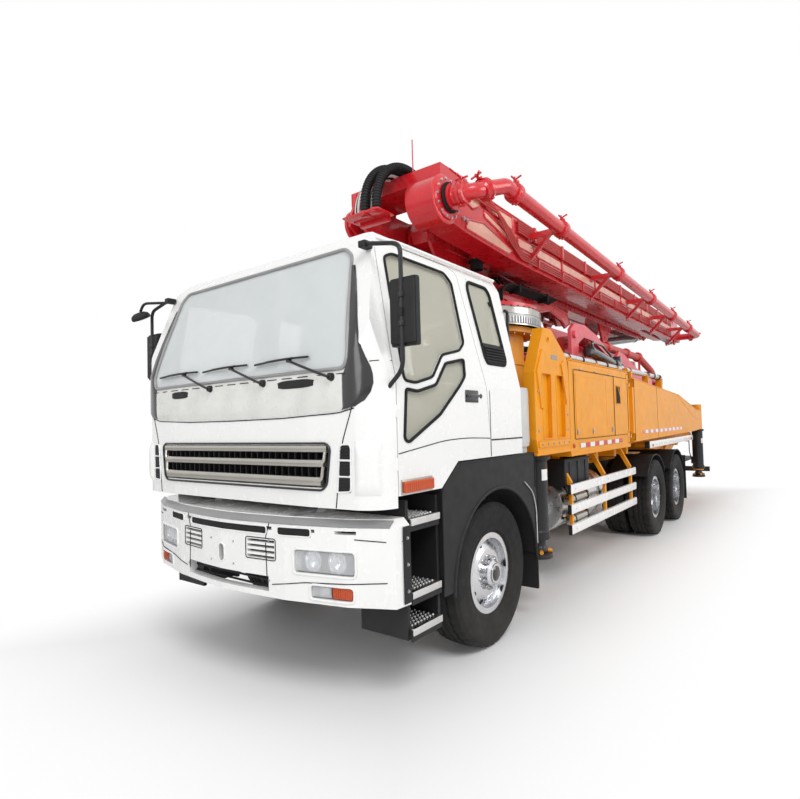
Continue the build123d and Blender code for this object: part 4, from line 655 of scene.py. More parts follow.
def grip_edge(y0, y1, z, way):
    """Long edge of a grip, which bulges up or down in the middle."""
    points = []
    for s in spread(0, 1, 10):
        y = y0 + (y1 - y0) * s
        flat = (2 * s - 1) ** 4
        points.append((front_x(y, z) + 0.012 - 0.006 * flat, y, z + (1 - flat) * 0.018 * way))
    return points


for y0, y1 in ((-0.75, -0.5), (0.45, 0.82)):
    grips.sheet([grip_edge(y0, y1, 1.895, -1), grip_edge(y0, y1, 1.91, 1)], (-0.008, 0, 0))
for k in range(15):
    y = -0.98 + 0.14 * k
    grips.box((front_x(y, 1.945) + 0.004, y - 0.045, 1.938), (front_x(y, 1.945) + 0.0085, y + 0.045, 1.944),
        0.001)

wipers = Group("wipers", paint_black, "cab")
wiper_steel = Group("wiper_arms", satin_black, "cab")
for y in (-0.236, 0.339, 0.925):
    x = front_x(y, 1.925)
    tip = (y - 0.36, 2.052)
    wipers.rod((x, y, 1.925), (x + 0.03, y, 1.93), 0.026, 24, 0.02, 0.004)
    elbow = (front_x(y - 0.1, 1.96) + 0.035, y - 0.1, 1.962)
    end = (front_x(tip[0], tip[1]) + 0.03, tip[0], tip[1])
    wiper_steel.path([(x + 0.03, y, 1.925), elbow, end], 0.008, 8, 0.03, 4)
    blade = [(front_x(tip[0] + s, tip[1]) + 0.018, tip[0] + s, tip[1] + 0.012 * (1 - (s / 0.33) ** 2))
        for s in (-0.33, -0.2, -0.08, 0.05, 0.17)]
    wipers.path(blade, 0.007, 8, 0.02, 3)
    wiper_steel.path([(p[0] + 0.011, p[1], p[2]) for p in blade[1:4]], 0.006, 8, 0.02, 3)
    wipers.sheet([[(p[0] - 0.014, p[1], p[2] + dz) for p in blade] for dz in (-0.002, 0.002)], (0.012, 0, 0))
    wipers.rod((end[0] - 0.012, end[1] - 0.014, end[2]), (end[0] - 0.012, end[1] + 0.014, end[2]), 0.012, 14)


def band(group, half, z0, z1, lift, thick):
    """Strip across the cab's face with rounded long edges."""
    edge = 0.007
    rows = [(z0, -edge), (z0 + edge * 0.5, -edge * 0.3), (z0 + edge, 0), (z1 - edge, 0),
        (z1 - edge * 0.5, -edge * 0.3), (z1, -edge)]
    grid = [[(front_x(y, z) + lift + off, y, z) for y in spread(-half, half, 24)] for z, off in rows]
    group.sheet(grid, (-thick, 0, 0))


bars = Group("grille_bars", bar_silver, "cab")
band(bars, 0.872, 1.494, 1.538, 0.006, 0.03)
band(bars, 0.85, 1.408, 1.452, 0.010, 0.034)
band(bars, 0.83, 1.298, 1.352, 0.010, 0.034)
for z0, z1, half in ((1.43, 1.497, 0.852), (1.33, 1.412, 0.835)):
    for _ in both_sides():
        bars.path([(front_x(half, z0) + 0.004, half - 0.1, z0), (front_x(half, z0) + 0.004, half, z0),
            (front_x(half, z1) - 0.004, half + 0.006, z1)], 0.012, 12, 0.03, 4)
grille_frame = Group("grille_frame", satin_black, "cab")
grille_frame.path(on_face(divided(mirrored_line([(0, 1.547), (0.868, 1.547), (0.9, 1.52), (0.872, 1.31),
    (0.835, 1.276)])), 0.004), 0.007, 10, 0.02, 4, True)
grille_back = Group("grille_back", plastic, "cab", ["grille"])
grille_back.sheet([[(front_x(y, z) - 0.052, y, z) for y in (-0.9 + 0.1 * k for k in range(19))]
    for z in (1.283, 1.41, 1.541)], (-0.01, 0, 0))
for k in range(29):
    y = -0.84 + 0.06 * k
    for z0, z1 in ((1.345, 1.412), (1.446, 1.5)):
        grille_back.box((front_x(y, z0) - 0.055, y - 0.0035, z0), (front_x(y, z0) - 0.012, y + 0.0035, z1), 0)

# Corner vents, the raised cover beside each, seams of the front panel
vents = Group("corner_vents", plastic, "cab")
ribs = Group("vent_ribs", white, "cab")
covers = Group("corner_covers", white, "cab")
seams = Group("cab_seams", joint_and_crease_shade_black, "cab")
for _ in both_sides():
    edges = [(0.95, 1.268), (0.966, 1.27), (1.036, 1.275), (1.046, 1.29), (1.05, 1.52), (1.04, 1.54),
        (0.985, 1.54), (0.972, 1.525)]
    vents.sheet([[(front_x(y, z) + 0.003, y, z) for y in spread(lo, hi, 6)]
        for z, lo, hi in ((1.27, 0.955, 1.04), (1.36, 0.958, 1.045), (1.45, 0.965, 1.047),
        (1.54, 0.985, 1.043))], (-0.008, 0, 0))
    for k in range(13):
        z = 1.286 + k * 0.0195
        vents.sheet([[(front_x(y, z) + off, y, z + dz) for y in (0.972, 1.0, 1.036)]
            for dz, off in ((0, 0.009), (0.006, 0.004))], (-0.004, 0, 0))
    for z in (1.36, 1.45):
        ribs.sheet([[(front_x(y, z) + off, y, z + dz) for y in (0.955, 1.0, 1.03, 1.052)]
            for dz, off in ((-0.007, 0.004), (-0.003, 0.009), (0.003, 0.009), (0.007, 0.004))],
            (-0.006, 0, 0))
    ribs.path(on_face(edges, 0.004), 0.005, 8, 0.01, 3, True)
    grid = []
    for i in range(13):
        u = i / 12
        z = 1.255 + 0.305 * u
        row = []
        for j in range(13):
            v = j / 12
            turn = radians(7 + 45 * v)
            lift = 0.022 * min(1, 5 * u, 5 * (1 - u), 4.5 * v, 4.5 * (1 - v)) ** 0.6 + 0.001
            row.append((CORNER[0] + (CORNER[2] + lift) * cos(turn),
                CORNER[1] + (CORNER[2] + lift) * sin(turn), z))
        grid.append(row)
    covers.sheet(grid, (-0.012, 0, 0))
    line = resampled([(1.085, 1.85), (1.06, 1.745), (0.991, 1.56), (0.95, 1.3), (0.935, 1.18)], 24)
    seams.path(on_face(line, 0.0005), 0.0035, 8, 0.02, 3)
    seams.path(on_face([(1.165, 2.0), (1.2, 2.004)], 0.001) + [(1.2, side_y(2.008), 2.008)], 0.003, 8, 0.005,
        2)
    seams.path([(0.11, 1.241, 1.40), (0.11, 1.241, 1.86), (0.11, side_y(2.72), 2.72)], 0.0025, 8, 0.01, 2)
    seams.path([(-0.398, 1.241, 1.517), (0.1, 1.241, 1.517)], 0.005, 8, 0.01, 2)
seams.path(on_face(resampled(mirrored_line([(0, 1.697), (0.5, 1.70), (0.957, 1.718), (1.075, 1.742)]), 40),
    0.001), 0.0035, 8, 0.02, 3)

# Roof: lengthwise ribs, drip rails, hatch; rear wall: ribs and grab handles
roof = Group("roof_ribs", white, "cab")
for k in range(7):
    y = -0.6 + 0.2 * k
    roof.box((-0.3, y - 0.03, 2.855), (0.82, y + 0.03, 2.868), 0.006)
roof.box((0.1, -0.28, 2.86), (0.62, 0.28, 2.885), 0.012)
for _ in both_sides():
    roof.path([(1.1, 1.03, 2.79), (0.9, 1.045, 2.8), (-0.36, 1.045, 2.8)], 0.012, 10, 0.08, 5)
rear_wall = Group("cab_rear_ribs", white, "cab")
for k in range(6):
    y = -0.95 + 0.38 * k
    rear_wall.box((-0.412, y - 0.05, 1.5), (-0.396, y + 0.05, 2.0), 0.006)
rails = Group("cab_grab_rails", paint_black, "cab")
for _ in both_sides():
    rails.path([(-0.4, 1.12, 2.0), (-0.45, 1.12, 2.0), (-0.45, 1.12, 2.55), (-0.4, 1.12, 2.55)], 0.013, 12,
        0.04, 5)
rear_gasket = Group("rear_window_gasket", rubber, "cab")
rear_gasket.path([(-0.402, y, z) for y, z in ((-0.56, 2.05), (-0.56, 2.56), (0.56, 2.56), (0.56, 2.05))],
    0.014, 10, 0.04, 5, True)

# Quarter windows with the louvre below, doors with their windows, handle and marker lamp
QUARTER = [(0.13, 2.64), (0.1, 2.70), (-0.17, 2.70), (-0.21, 2.65), (-0.24, 2.12), (-0.21, 2.08),
    (0.06, 2.08), (0.085, 2.12)]
SIDE_WINDOW = [(1.085, 2.66), (1.12, 1.9), (1.01, 1.89), (0.82, 1.935), (0.66, 2.09), (0.43, 2.14),
    (0.35, 2.2), (0.345, 2.64), (0.42, 2.7), (1.0, 2.7)]
LOW_WINDOW = [(1.105, 1.85), (1.13, 1.56), (1.09, 1.54), (0.76, 1.7), (0.43, 1.96), (0.4, 2.08),
    (0.64, 2.035), (0.8, 1.885), (0.99, 1.84)]
DOOR_CARD = [(0.16, 1.62), (0.6, 1.52), (0.92, 1.38), (1.1, 1.38), (1.1, 1.5), (0.76, 1.66), (0.41, 1.92),
    (0.35, 2.1), (0.17, 2.1)]
for tag in both_sides():
    trim = Group(f"quarter_trim_{tag}", rubber, "cab")
    trim.path(on_side(divided(QUARTER), 0.002), 0.013, 10, 0.03, 4, True)
    louvre = Group(f"cab_louvre_{tag}", plastic, "cab")
    louvre.sheet([[(x, side_y(z) + off, z) for x in (lo, (lo + hi) / 2, hi)]
        for z, lo, hi, off in ((2.07, -0.215, 0.065, 0.0), (2.085, -0.235, 0.08, 0.006),
        (2.225, -0.238, 0.095, 0.006), (2.235, -0.236, 0.096, 0.0))], (0, -0.004, 0))
    for k in range(6):
        z = 2.095 + k * 0.0215
        louvre.plate([(side_y(z) + 0.005, z), (side_y(z) + 0.017, z - 0.003), (side_y(z) + 0.017, z + 0.003),
            (side_y(z) + 0.004, z + 0.013)], -0.22, 0.075, "X")
    body = f"door_{tag}"
    gasket = Group(f"door_gasket_{tag}", rubber, body)
    gasket.path(on_side(divided(SIDE_WINDOW), 0.002), 0.009, 10, 0.03, 4, True)
    gasket.path(on_side(divided(LOW_WINDOW), 0.002), 0.010, 10, 0.02, 3, True)
    # Black line along the door's crease: painted shade in the crease.
    crease_shade_line = Group(f"door_crease_painted_shade_{tag}", joint_and_crease_shade_black, body)
    crease_shade_line.path([(1.186, 1.2405, 1.478), (0.7, 1.2405, 1.537), (0.42, 1.2405, 1.543),
        (0.124, 1.2405, 1.53)], 0.003, 8, 0.1, 5)
    handle = Group(f"door_handle_{tag}", black_gloss, body)
    handle.box((0.275, 1.226, 1.782), (0.45, 1.2445, 1.868), 0.01)
    handle.path([(0.295, 1.244, 1.825), (0.305, 1.262, 1.828), (0.42, 1.262, 1.828), (0.43, 1.244, 1.825)],
        0.011, 12, 0.015, 4)
    handle.rod((0.24, 1.236, 1.83), (0.24, 1.246, 1.83), 0.016, 24, bevel=0.003)
    lamp = Group(f"side_marker_base_{tag}", bar_silver, body)
    lamp.box((0.868, 1.236, 1.244), (1.172, 1.249, 1.33), 0.012)
    lamp = Group(f"side_marker_{tag}", amber, body)
    lamp.box((0.876, 1.244, 1.253), (1.164, 1.268, 1.321), 0.014)
    for k in range(13):
        lamp.box((0.893 + 0.0205 * k, 1.266, 1.262), (0.898 + 0.0205 * k, 1.2705, 1.312), 0.001)
    card = Group(f"door_card_{tag}", cab_trim, body)
    card.plate(DOOR_CARD, 1.176, 1.192, "Y", 0.004)
    card.box((0.2, 1.1, 1.86), (0.6, 1.18, 1.92), 0.018)
    card.path([(0.28, 1.18, 1.97), (0.28, 1.14, 1.97), (0.52, 1.14, 1.97), (0.52, 1.18, 1.97)], 0.011, 12,
        0.03, 4)
    card.rod((0.4, 1.18, 1.74), (0.4, 1.168, 1.74), 0.06, 28, bevel=0.004)
    hinge_pins = Group(f"door_hinges_{tag}", white, "cab")
    for z in (1.42, 1.72):
        hinge_pins.rod((1.2, 1.236, z - 0.035), (1.2, 1.236, z + 0.035), 0.009, 14, bevel=0.002)

# Mirrors: stay, heads with glass, links
stays = Group("mirror_stays", paint_black, "cab")
heads = Group("mirror_heads", plastic, "cab", ["mirrors"])
mirror_glass = Group("mirror_glass", chrome, "cab")
for _ in both_sides():
    stays.path([(1.24, 1.08, 2.7), (1.24, 1.33, 2.65), (1.24, 1.33, 1.95), (1.235, 1.19, 1.83)], 0.013, 14,
        0.06, 7)
    heads.box((1.186, 1.238, 2.076), (1.229, 1.422, 2.464), 0.02)
    heads.box((1.21, 1.245, 2.09), (1.243, 1.415, 2.45), 0.014)
    mirror_glass.box((1.1835, 1.25, 2.09), (1.188, 1.41, 2.45), 0.0015)
    heads.box((1.215, 1.316, 2.24), (1.256, 1.344, 2.29), 0.005)
    heads.box((1.19, 1.035, 2.68), (1.262, 1.09, 2.72), 0.008)
    heads.box((1.19, 1.178, 1.8), (1.258, 1.214, 1.85), 0.008)
    for z in (2.2, 2.36):
        stays.rod((1.24, 1.33, z - 0.015), (1.24, 1.33, z + 0.015), 0.02, 18, bevel=0.003)
stays.path([(1.24, -1.09, 2.69), (1.33, -1.29, 2.7), (1.33, -1.345, 2.64)], 0.011, 12, 0.04, 6)
heads.lathe([(0.0, 0.035), (0.04, 0.031), (0.066, 0.016), (0.076, -0.004), (0.074, -0.02), (0.066, -0.026),
    (0, -0.026)], (1.33, -1.345, 2.6), (0.45, 0.0, 0.9))
mirror_glass.lathe([(0, -0.034), (0.04, -0.032), (0.064, -0.026)], (1.33, -1.345, 2.6), (0.45, 0, 0.9))


# Bumper: cover along the top, seams, slot rims, end plates and lamps
SLOTS = ((-0.384, 0.42, 0.998, 1.048), (0.507, 0.745, 1.0, 1.052), (-0.745, -0.507, 1.0, 1.052))
LEVELS = [(1.068, 0.0035), (1.072, 0.006), (1.104, -0.026), (1.1065, -0.033)]
cover = Group("bumper_cover", frame_grey, "truck")
cover.sheet([[(bumper_x(y) + off, y, z) for y in (-1.21 + 0.055 * k for k in range(45))]
    for z, off in LEVELS], (-0.004, 0, -0.004))
marks = Group("bumper_seams", joint_and_crease_shade_black, "truck")
for _ in both_sides():
    for line in ([(0.42, 0.69), (0.41, 0.945)], [(0.41, 0.975), (0.44, 1.066)], [(1.02, 1.0), (1.24, 0.985)],
            [(0.46, 0.70), (0.7, 0.735), (1.03, 0.752), (1.242, 0.765)]):
        marks.path(on_bumper(divided(line, 0.06, False), 0.0008), 0.003, 8, 0.01, 2)
    marks.path(on_bumper(divided(frame_of(0.24, 0.49, 0.842, 0.972), 0.08), 0.001), 0.003, 8, 0.015, 3, True)
for y0, y1, z0, z1 in SLOTS:
    marks.sheet([[(bumper_x(y) + off, y, z) for y in spread(y0, y1, 14)]
        for z, off in ((z0, 0.0015), (z0 + 0.01, 0.003), (z1 - 0.01, 0.003), (z1, 0.0015))], (-0.004, 0, 0))
for _ in both_sides():
    marks.sheet([[(bumper_x(y) - 0.03, y, z) for y in (0.25, 0.365, 0.48)] for z in (0.85, 0.91, 0.965)],
        (-0.004, 0, 0))
rims = Group("bumper_rims", white, "truck")
for y0, y1, z0, z1 in SLOTS:
    rims.path(on_bumper(divided(frame_of(y0, y1, z0, z1), 0.08), 0.002), 0.005, 8, 0.02, 4, True)
rims.path([(bumper_x(0) - 0.001, 0.032 * cos(a), 0.85 + 0.028 * sin(a) + (0.03 if sin(a) > 0 else -0.03))
    for a in turns(24)], 0.005, 8, 0.004, 2, True)
for _ in both_sides():
    for y0, y1, z0, z1 in ((0.63, 1.02, 0.79, 0.925), (0.74, 1.01, 0.65, 0.725)):
        rims.path(on_bumper(divided(frame_of(y0 - 0.006, y1 + 0.006, z0 - 0.006, z1 + 0.006), 0.08), 0.001),
            0.008, 10, 0.03, 5, True)
bits = Group("bumper_end_plates", plastic, "truck")
for _ in both_sides():
    bits.box((1.108, 1.244, 0.632), (1.172, 1.2505, 1.066), 0.002)
    bits.box((1.18, 0.3, 0.64), (1.4, 0.27, 0.76), 0.004)
for z in (0.66, 0.7, 0.74):
    bits.box((1.40, -0.43, z - 0.006), (1.412, 0.43, z + 0.006), 0.002)
bolts = Group("bumper_bolts", steel, "truck")
for _ in both_sides():
    for z in (0.7, 0.85, 1.0):
        bolts.bolt((1.14, 1.25, z), (0, 1, 0), 0.008, 0.008)
    for y, z in ((0.435, 0.96), (0.435, 0.72), (0.12, 0.93), (0.12, 0.79)):
        bolts.bolt((bumper_x(y) - 0.001, y, z), (1, 0, 0), 0.006, 0.005)

housing = Group("lamp_housings", satin_black, "truck")
bowls = Group("lamp_bowls", chrome, "truck")
clear = Group("lamp_lenses", lens, "truck", ["lamps"])
turn = Group("turn_lenses", amber, "truck")
for _ in both_sides():
    for y0, y1, z0, z1, depth in ((0.632, 1.018, 0.792, 0.923, 0.082), (0.742, 1.008, 0.652, 0.723, 0.06)):
        spots = spread(y0, y1, 8)
        housing.sheet([[(bumper_x(y) - depth, y, z) for y in spots] for z in (z0, (z0 + z1) / 2, z1)],
            (-0.006, 0, 0))
        for z in (z0, z1):
            housing.sheet([[(bumper_x(y) - d, y, z) for y in spots] for d in (depth, 0.02)],
                (0, 0, 0.004 if z == z0 else -0.004))
    for y, z, r in ((0.725, 0.857, 0.058), (0.885, 0.857, 0.06), (0.8, 0.688, 0.032)):
        centre = (bumper_x(y) - (0.078 if z > 0.8 else 0.056), y, z)
        bowls.lathe([(0.0, 0.0), (r * 0.35, 0.004), (r * 0.7, r * 0.24), (r * 0.92, r * 0.55), (r, r * 0.8),
            (r * 1.02, r * 0.78), (r * 0.95, r * 0.5), (0.0, -0.006)], centre, (1, 0.12, 0))
        bowls.lathe([(0, 0.03), (0.012, 0.026), (0.016, 0.012), (0.014, 0.0), (0.0, 0.0)],
            (centre[0] + 0.004, centre[1], centre[2]), (1, 0.12, 0))
        bowls.ring((centre[0] + r * 0.8, y + 0.008, z), (1, 0.12, 0), r * 1.04, 0.003)
    for y0, y1, z0, z1, group, fins in ((0.634, 1.016, 0.794, 0.921, clear, 0),
            (0.744, 0.868, 0.654, 0.721, clear, 0), (0.876, 1.006, 0.654, 0.721, turn, 9)):
        spots = spread(y0, y1, 10)
        rows = ((z0, 0.016), (z0 + 0.006, 0.009), (z0 + (z1 - z0) / 2, 0.0065), (z1 - 0.006, 0.009),
            (z1, 0.016))
        group.sheet([[(bumper_x(y) - off, y, z) for y in spots] for z, off in rows], (-0.003, 0, 0))
        for k in range(fins):
            y = y0 + (y1 - y0) * (k + 0.5) / fins
            group.box((bumper_x(y) - 0.008, y - 0.002, z0 + 0.01),
                (bumper_x(y) - 0.0045, y + 0.002, z1 - 0.01), 0.0006)
for _ in both_sides():
    housing.box((-9.815, 0.855, 0.474), (-9.845, 1.135, 0.566), 0.008)
    turn.box((-9.84, 1.04, 0.484), (-9.858, 1.125, 0.556), 0.006)
tails = Group("tail_lenses", red_lens, "truck")
for _ in both_sides():
    tails.box((-9.84, 0.865, 0.484), (-9.858, 0.95, 0.556), 0.006)
    tails.box((-9.84, 0.955, 0.484), (-9.856, 1.035, 0.556), 0.006)
    for k in range(6):
        tails.box((-9.857, 0.874 + 0.013 * k, 0.49), (-9.86, 0.877 + 0.013 * k, 0.55), 0.0008)

# Steps, arch edges, flap brackets and hub caps
treads = Group("step_treads", silver, "truck")
for _ in both_sides():
    for z in (0.668, 1.088, 0.458):
        treads.box((0.79, 0.87, z - 0.001), (1.072, 1.228, z + 0.004), 0.002)
        treads.box((0.782, 1.216, z - 0.034), (1.078, 1.236, z + 0.008), 0.005)
        for i in range(9):
            for j in range(9):
                x, y = 0.806 + 0.0312 * i, 0.89 + 0.036 * j
                treads.rod((x, y, z + 0.003), (x, y, z + 0.011), 0.0085, 8, 0.006)
plugs = Group("step_plugs", plastic, "truck")
arches = Group("arch_edges", plastic, "truck")
straps = Group("flap_brackets", steel, "truck")
for _ in both_sides():
    plugs.box((0.86, 0.846, 0.885), (1.0, 0.862, 0.985), 0.02)
    for k in range(5):
        plugs.box((0.79 + 0.055 * k, 0.848, 0.70), (0.805 + 0.055 * k, 0.857, 0.85), 0.003)
    arches.path([(0.632 * cos(a), 1.228, TYRE + 0.632 * sin(a)) for a in (pi * k / 40 for k in range(41))],
        0.014, 10, 0.01, 2)
    arches.path([(0.748, 1.233, 0.62), (0.748, 1.233, 1.225), (0.558, 1.233, 1.38), (-0.636, 1.233, 1.38),
        (-0.636, 1.233, 1.1)], 0.006, 8, 0.05, 5)
    arches.box((-0.655, 0.885, 0.262), (-0.637, 1.23, 0.29), 0.003)
    straps.path([(-0.42, 1.238, 1.165), (-0.57, 1.238, 1.07), (-0.628, 1.238, 0.93), (-0.632, 1.238, 0.64)],
        0.006, 8, 0.06, 5)
    for z in (0.66, 0.8, 0.94):
        straps.bolt((-0.637, 1.18, z), (1, 0, 0), 0.008, 0.008)
    for axle in REAR_AXLES:
        arches.path([(axle + 0.602 * cos(a), 1.238, TYRE + 0.602 * sin(a))
            for a in (0.62 + (pi - 1.24) * k / 24 for k in range(25))], 0.009, 10, 0.01, 2)
for tag in both_sides():
    cap = Group(f"front_hub_{tag}", black_gloss, f"front_wheel_{tag}")
    cap.lathe([(0.0, 0.019), (0.03, 0.018), (0.05, 0.012), (0.062, 0.003), (0.07, 0.0)], (0, 1.182, TYRE),
        (0, 1, 0))
    cap.ring((0, 1.183, TYRE), (0, 1, 0), 0.068, 0.005)
    for number, axle in enumerate(REAR_AXLES, 1):
        cap = Group(f"rear_hub_{number}{tag}", paint_black, f"rear_wheels_{number}{tag}")
        cap.lathe([(0.0, 0.012), (0.04, 0.011), (0.06, 0.006), (0.068, 0.0)], (axle, 1.142, TYRE), (0, 1, 0))
        for a in turns(8):
            cap.bolt((axle + 0.054 * cos(a), 1.148, TYRE + 0.054 * sin(a)), (0, 1, 0), 0.007, 0.006)

# Rails along the side, with brackets, and the long bar over the rear wheels
RAIL_HEIGHTS = (0.56, 0.75, 0.94)
RAIL_BRACKETS = (-1.56, -2.57, -3.6)
bars = Group("side_bars", white, "truck", ["side_rails"])
brackets = Group("rail_brackets", yellow, "truck")
for _ in both_sides():
    for z in RAIL_HEIGHTS:
        bars.box((-3.7, 1.19, z), (-1.44, 1.228, z + 0.09), 0.018)
    bars.box((-7.62, 1.16, 1.228), (-4.45, 1.224, 1.325), 0.02)
    for x in RAIL_BRACKETS:
        brackets.box((x - 0.022, 1.166, 0.545), (x + 0.022, 1.196, 1.045), 0.004)
        brackets.plate([(1.196, 1.0), (1.196, 1.045), (1.06, 1.298), (0.99, 1.298), (0.99, 1.255),
            (1.03, 1.255), (1.166, 1.0)], x - 0.02, x + 0.02, "X", 0.003)
    for x in (-5.385, -6.9, -4.6):
        brackets.box((x - 0.03, 0.99, 1.24), (x + 0.03, 1.17, 1.29), 0.004)
bolts = Group("rail_bolts", steel, "truck")
for _ in both_sides():
    for x in RAIL_BRACKETS:
        for z in (0.605, 0.795, 0.985):
            bolts.bolt((x, 1.226, z), (0, 1, 0), 0.008, 0.005)
ends = Group("bar_end_caps", plastic, "truck")
for _ in both_sides():
    for x in (-3.7, -1.44):
        for z in RAIL_HEIGHTS:
            ends.box((x - 0.006, 1.193, z - 0.002), (x + 0.006, 1.228, z + 0.092), 0.006)
    for x in (-7.62, -4.45):
        ends.box((x - 0.006, 1.158, 1.226), (x + 0.006, 1.226, 1.327), 0.006)

# Tanks: pressed ends, straps, filler cap
TANK = 0.79
tank_parts = Group("tank_straps", satin_black, "truck")
tank_rims = Group("tank_rims", silver, "truck")
for _ in both_sides():
    for x in (-1.82, -2.28, -2.74):
        tank_parts.lathe([(0.272, -0.022), (0.2795, -0.02), (0.2795, 0.02), (0.272, 0.022)], (x, TANK, TANK),
            (1, 0, 0), 72)
        tank_parts.box((x - 0.02, 1.05, 0.78), (x + 0.02, 1.085, 0.83), 0.004)
    for x, way in ((-1.62, 1), (-2.96, -1)):
        tank_rims.lathe([(0.272, -0.03), (0.275, 0.0), (0.268, 0.006), (0.25, 0.004), (0.235, 0.01),
            (0.12, 0.02), (0.0, 0.024)], (x, TANK, TANK), (way, 0, 0), 72)
    tank_parts.lathe([(0.0, 0.05), (0.045, 0.048), (0.055, 0.04), (0.055, 0.0)], (-2.5, 0.92, 1.015),
        (0, 0.45, 0.9), 32)

# Ribs and bolts of the front towers; sleeves, labels and feet of all four jacks
TOWER_RIBS = (
    [(-0.812, 2.262), (-0.695, 2.068), (-0.765, 1.76), (-0.802, 1.745), (-0.772, 2.05), (-0.862, 2.2)],
    [(-1.235, 2.155), (-1.305, 2.2), (-1.372, 1.81), (-1.335, 1.795), (-1.262, 2.1)],
    [(-0.70, 1.42), (-0.70, 1.47), (-1.4, 1.47), (-1.4, 1.42)],
)
for tag in both_sides():
    body = f"front_outrigger_{tag}"
    ribs = Group(f"tower_ribs_{tag}", yellow, body)
    for line in TOWER_RIBS:
        ribs.plate(line, 1.242, 1.258, "Y", 0.003)
    for x in (-0.91, -1.22):
        ribs.path([(a, 1.245, z) for a, z in frame_of(x - 0.097, x + 0.097, 1.49, 2.06)], 0.006, 8, 0.02, 4,
            True)
    ribs.box((-1.44, 1.15, 1.352), (-0.67, 1.248, 1.372), 0.004)
    ribs.ring((-0.965, 1.246, 2.365), (0, 1, 0), 0.024, 0.006, 32, 8)
    badge = Group(f"tower_badge_{tag}", frame_grey, body)
    badge.box((-1.165, 1.243, 2.195), (-1.03, 1.2485, 2.235), 0.002)
    fasteners = Group(f"tower_bolts_{tag}", steel, body)
    for k in range(6):
        fasteners.bolt((-0.76 - 0.12 * k, 1.258, 1.445), (0, 1, 0), 0.009, 0.008)
    for x, z in ((-0.72, 1.56), (-0.72, 1.9), (-1.38, 1.56), (-1.38, 1.7)):
        fasteners.bolt((x, 1.245, z), (0, 1, 0), 0.009, 0.008)
    for kind, x, y, top, r, body in (("front", -0.9, 1.13, 1.352, 0.085, body),
            ("rear", -8.6, 1.13, 1.42, 0.095, f"rear_outrigger_{tag}")):
        sleeve = Group(f"{kind}_jack_sleeve_{tag}", paint_black, body)
        profile = [(r + 0.002, 0.618), (r + 0.012, 0.62), (r + 0.014, 0.63), (r + 0.014, 0.685),
            (r + 0.003, 0.70), (r + 0.003, top - 0.06), (r + 0.01, top - 0.055), (r + 0.03, top - 0.04),
            (r + 0.03, top - 0.015), (r + 0.001, top - 0.012)]
        sleeve.lathe(profile, (x, y, 0), (0, 0, 1), 48)
        for a in turns(8, 0.5):
            sleeve.bolt((x + (r + 0.02) * cos(a), y + (r + 0.02) * sin(a), top - 0.04), (0, 0, -1), 0.007,
                0.008)
        sleeve.box((x - 0.03, y - r - 0.03, 0.72), (x + 0.03, y - r + 0.01, 0.86), 0.006)
        sleeve.path([(x + 0.04, y - r - 0.01, 0.8), (x + 0.05, y - r - 0.05, 0.95),
            (x + 0.05, y - r - 0.05, top - 0.1)], 0.009, 8, 0.06, 5)
        label = Group(f"{kind}_jack_label_{tag}", label_white, body)
        label.sheet([[(x + (r + 0.0045) * cos(a), y + (r + 0.0045) * sin(a), z)
            for a in (radians(52 + 11 * k) for k in range(8))] for z in (1.13, 1.18, 1.225)], (0, -0.001, 0))
        foot = Group(f"{kind}_foot_lugs_{tag}", yellow, f"{kind}_jack_{tag}")
        for a in (0.6 + t for t in turns(4)):
            c, s = cos(a), sin(a)
            foot.rod((x + 0.07 * c, y + Group.side * 0.07 * s, 0.515),
                (x + 0.11 * c, y + Group.side * 0.11 * s, 0.515), 0.018, 16, bevel=0.003)
        pad = Group(f"{kind}_foot_rim_{tag}", paint_black, f"{kind}_jack_{tag}")
        pad.lathe([(0.06, 0.50), (0.075, 0.515), (0.075, 0.535), (0.0605, 0.56)], (x, y, 0), (0, 0, 1), 40)
        pad.lathe([(0.1, 0.457), (0.115, 0.459), (0.1165, 0.475), (0.11, 0.498), (0.09, 0.503)], (x, y, 0),
            (0, 0, 1), 40)

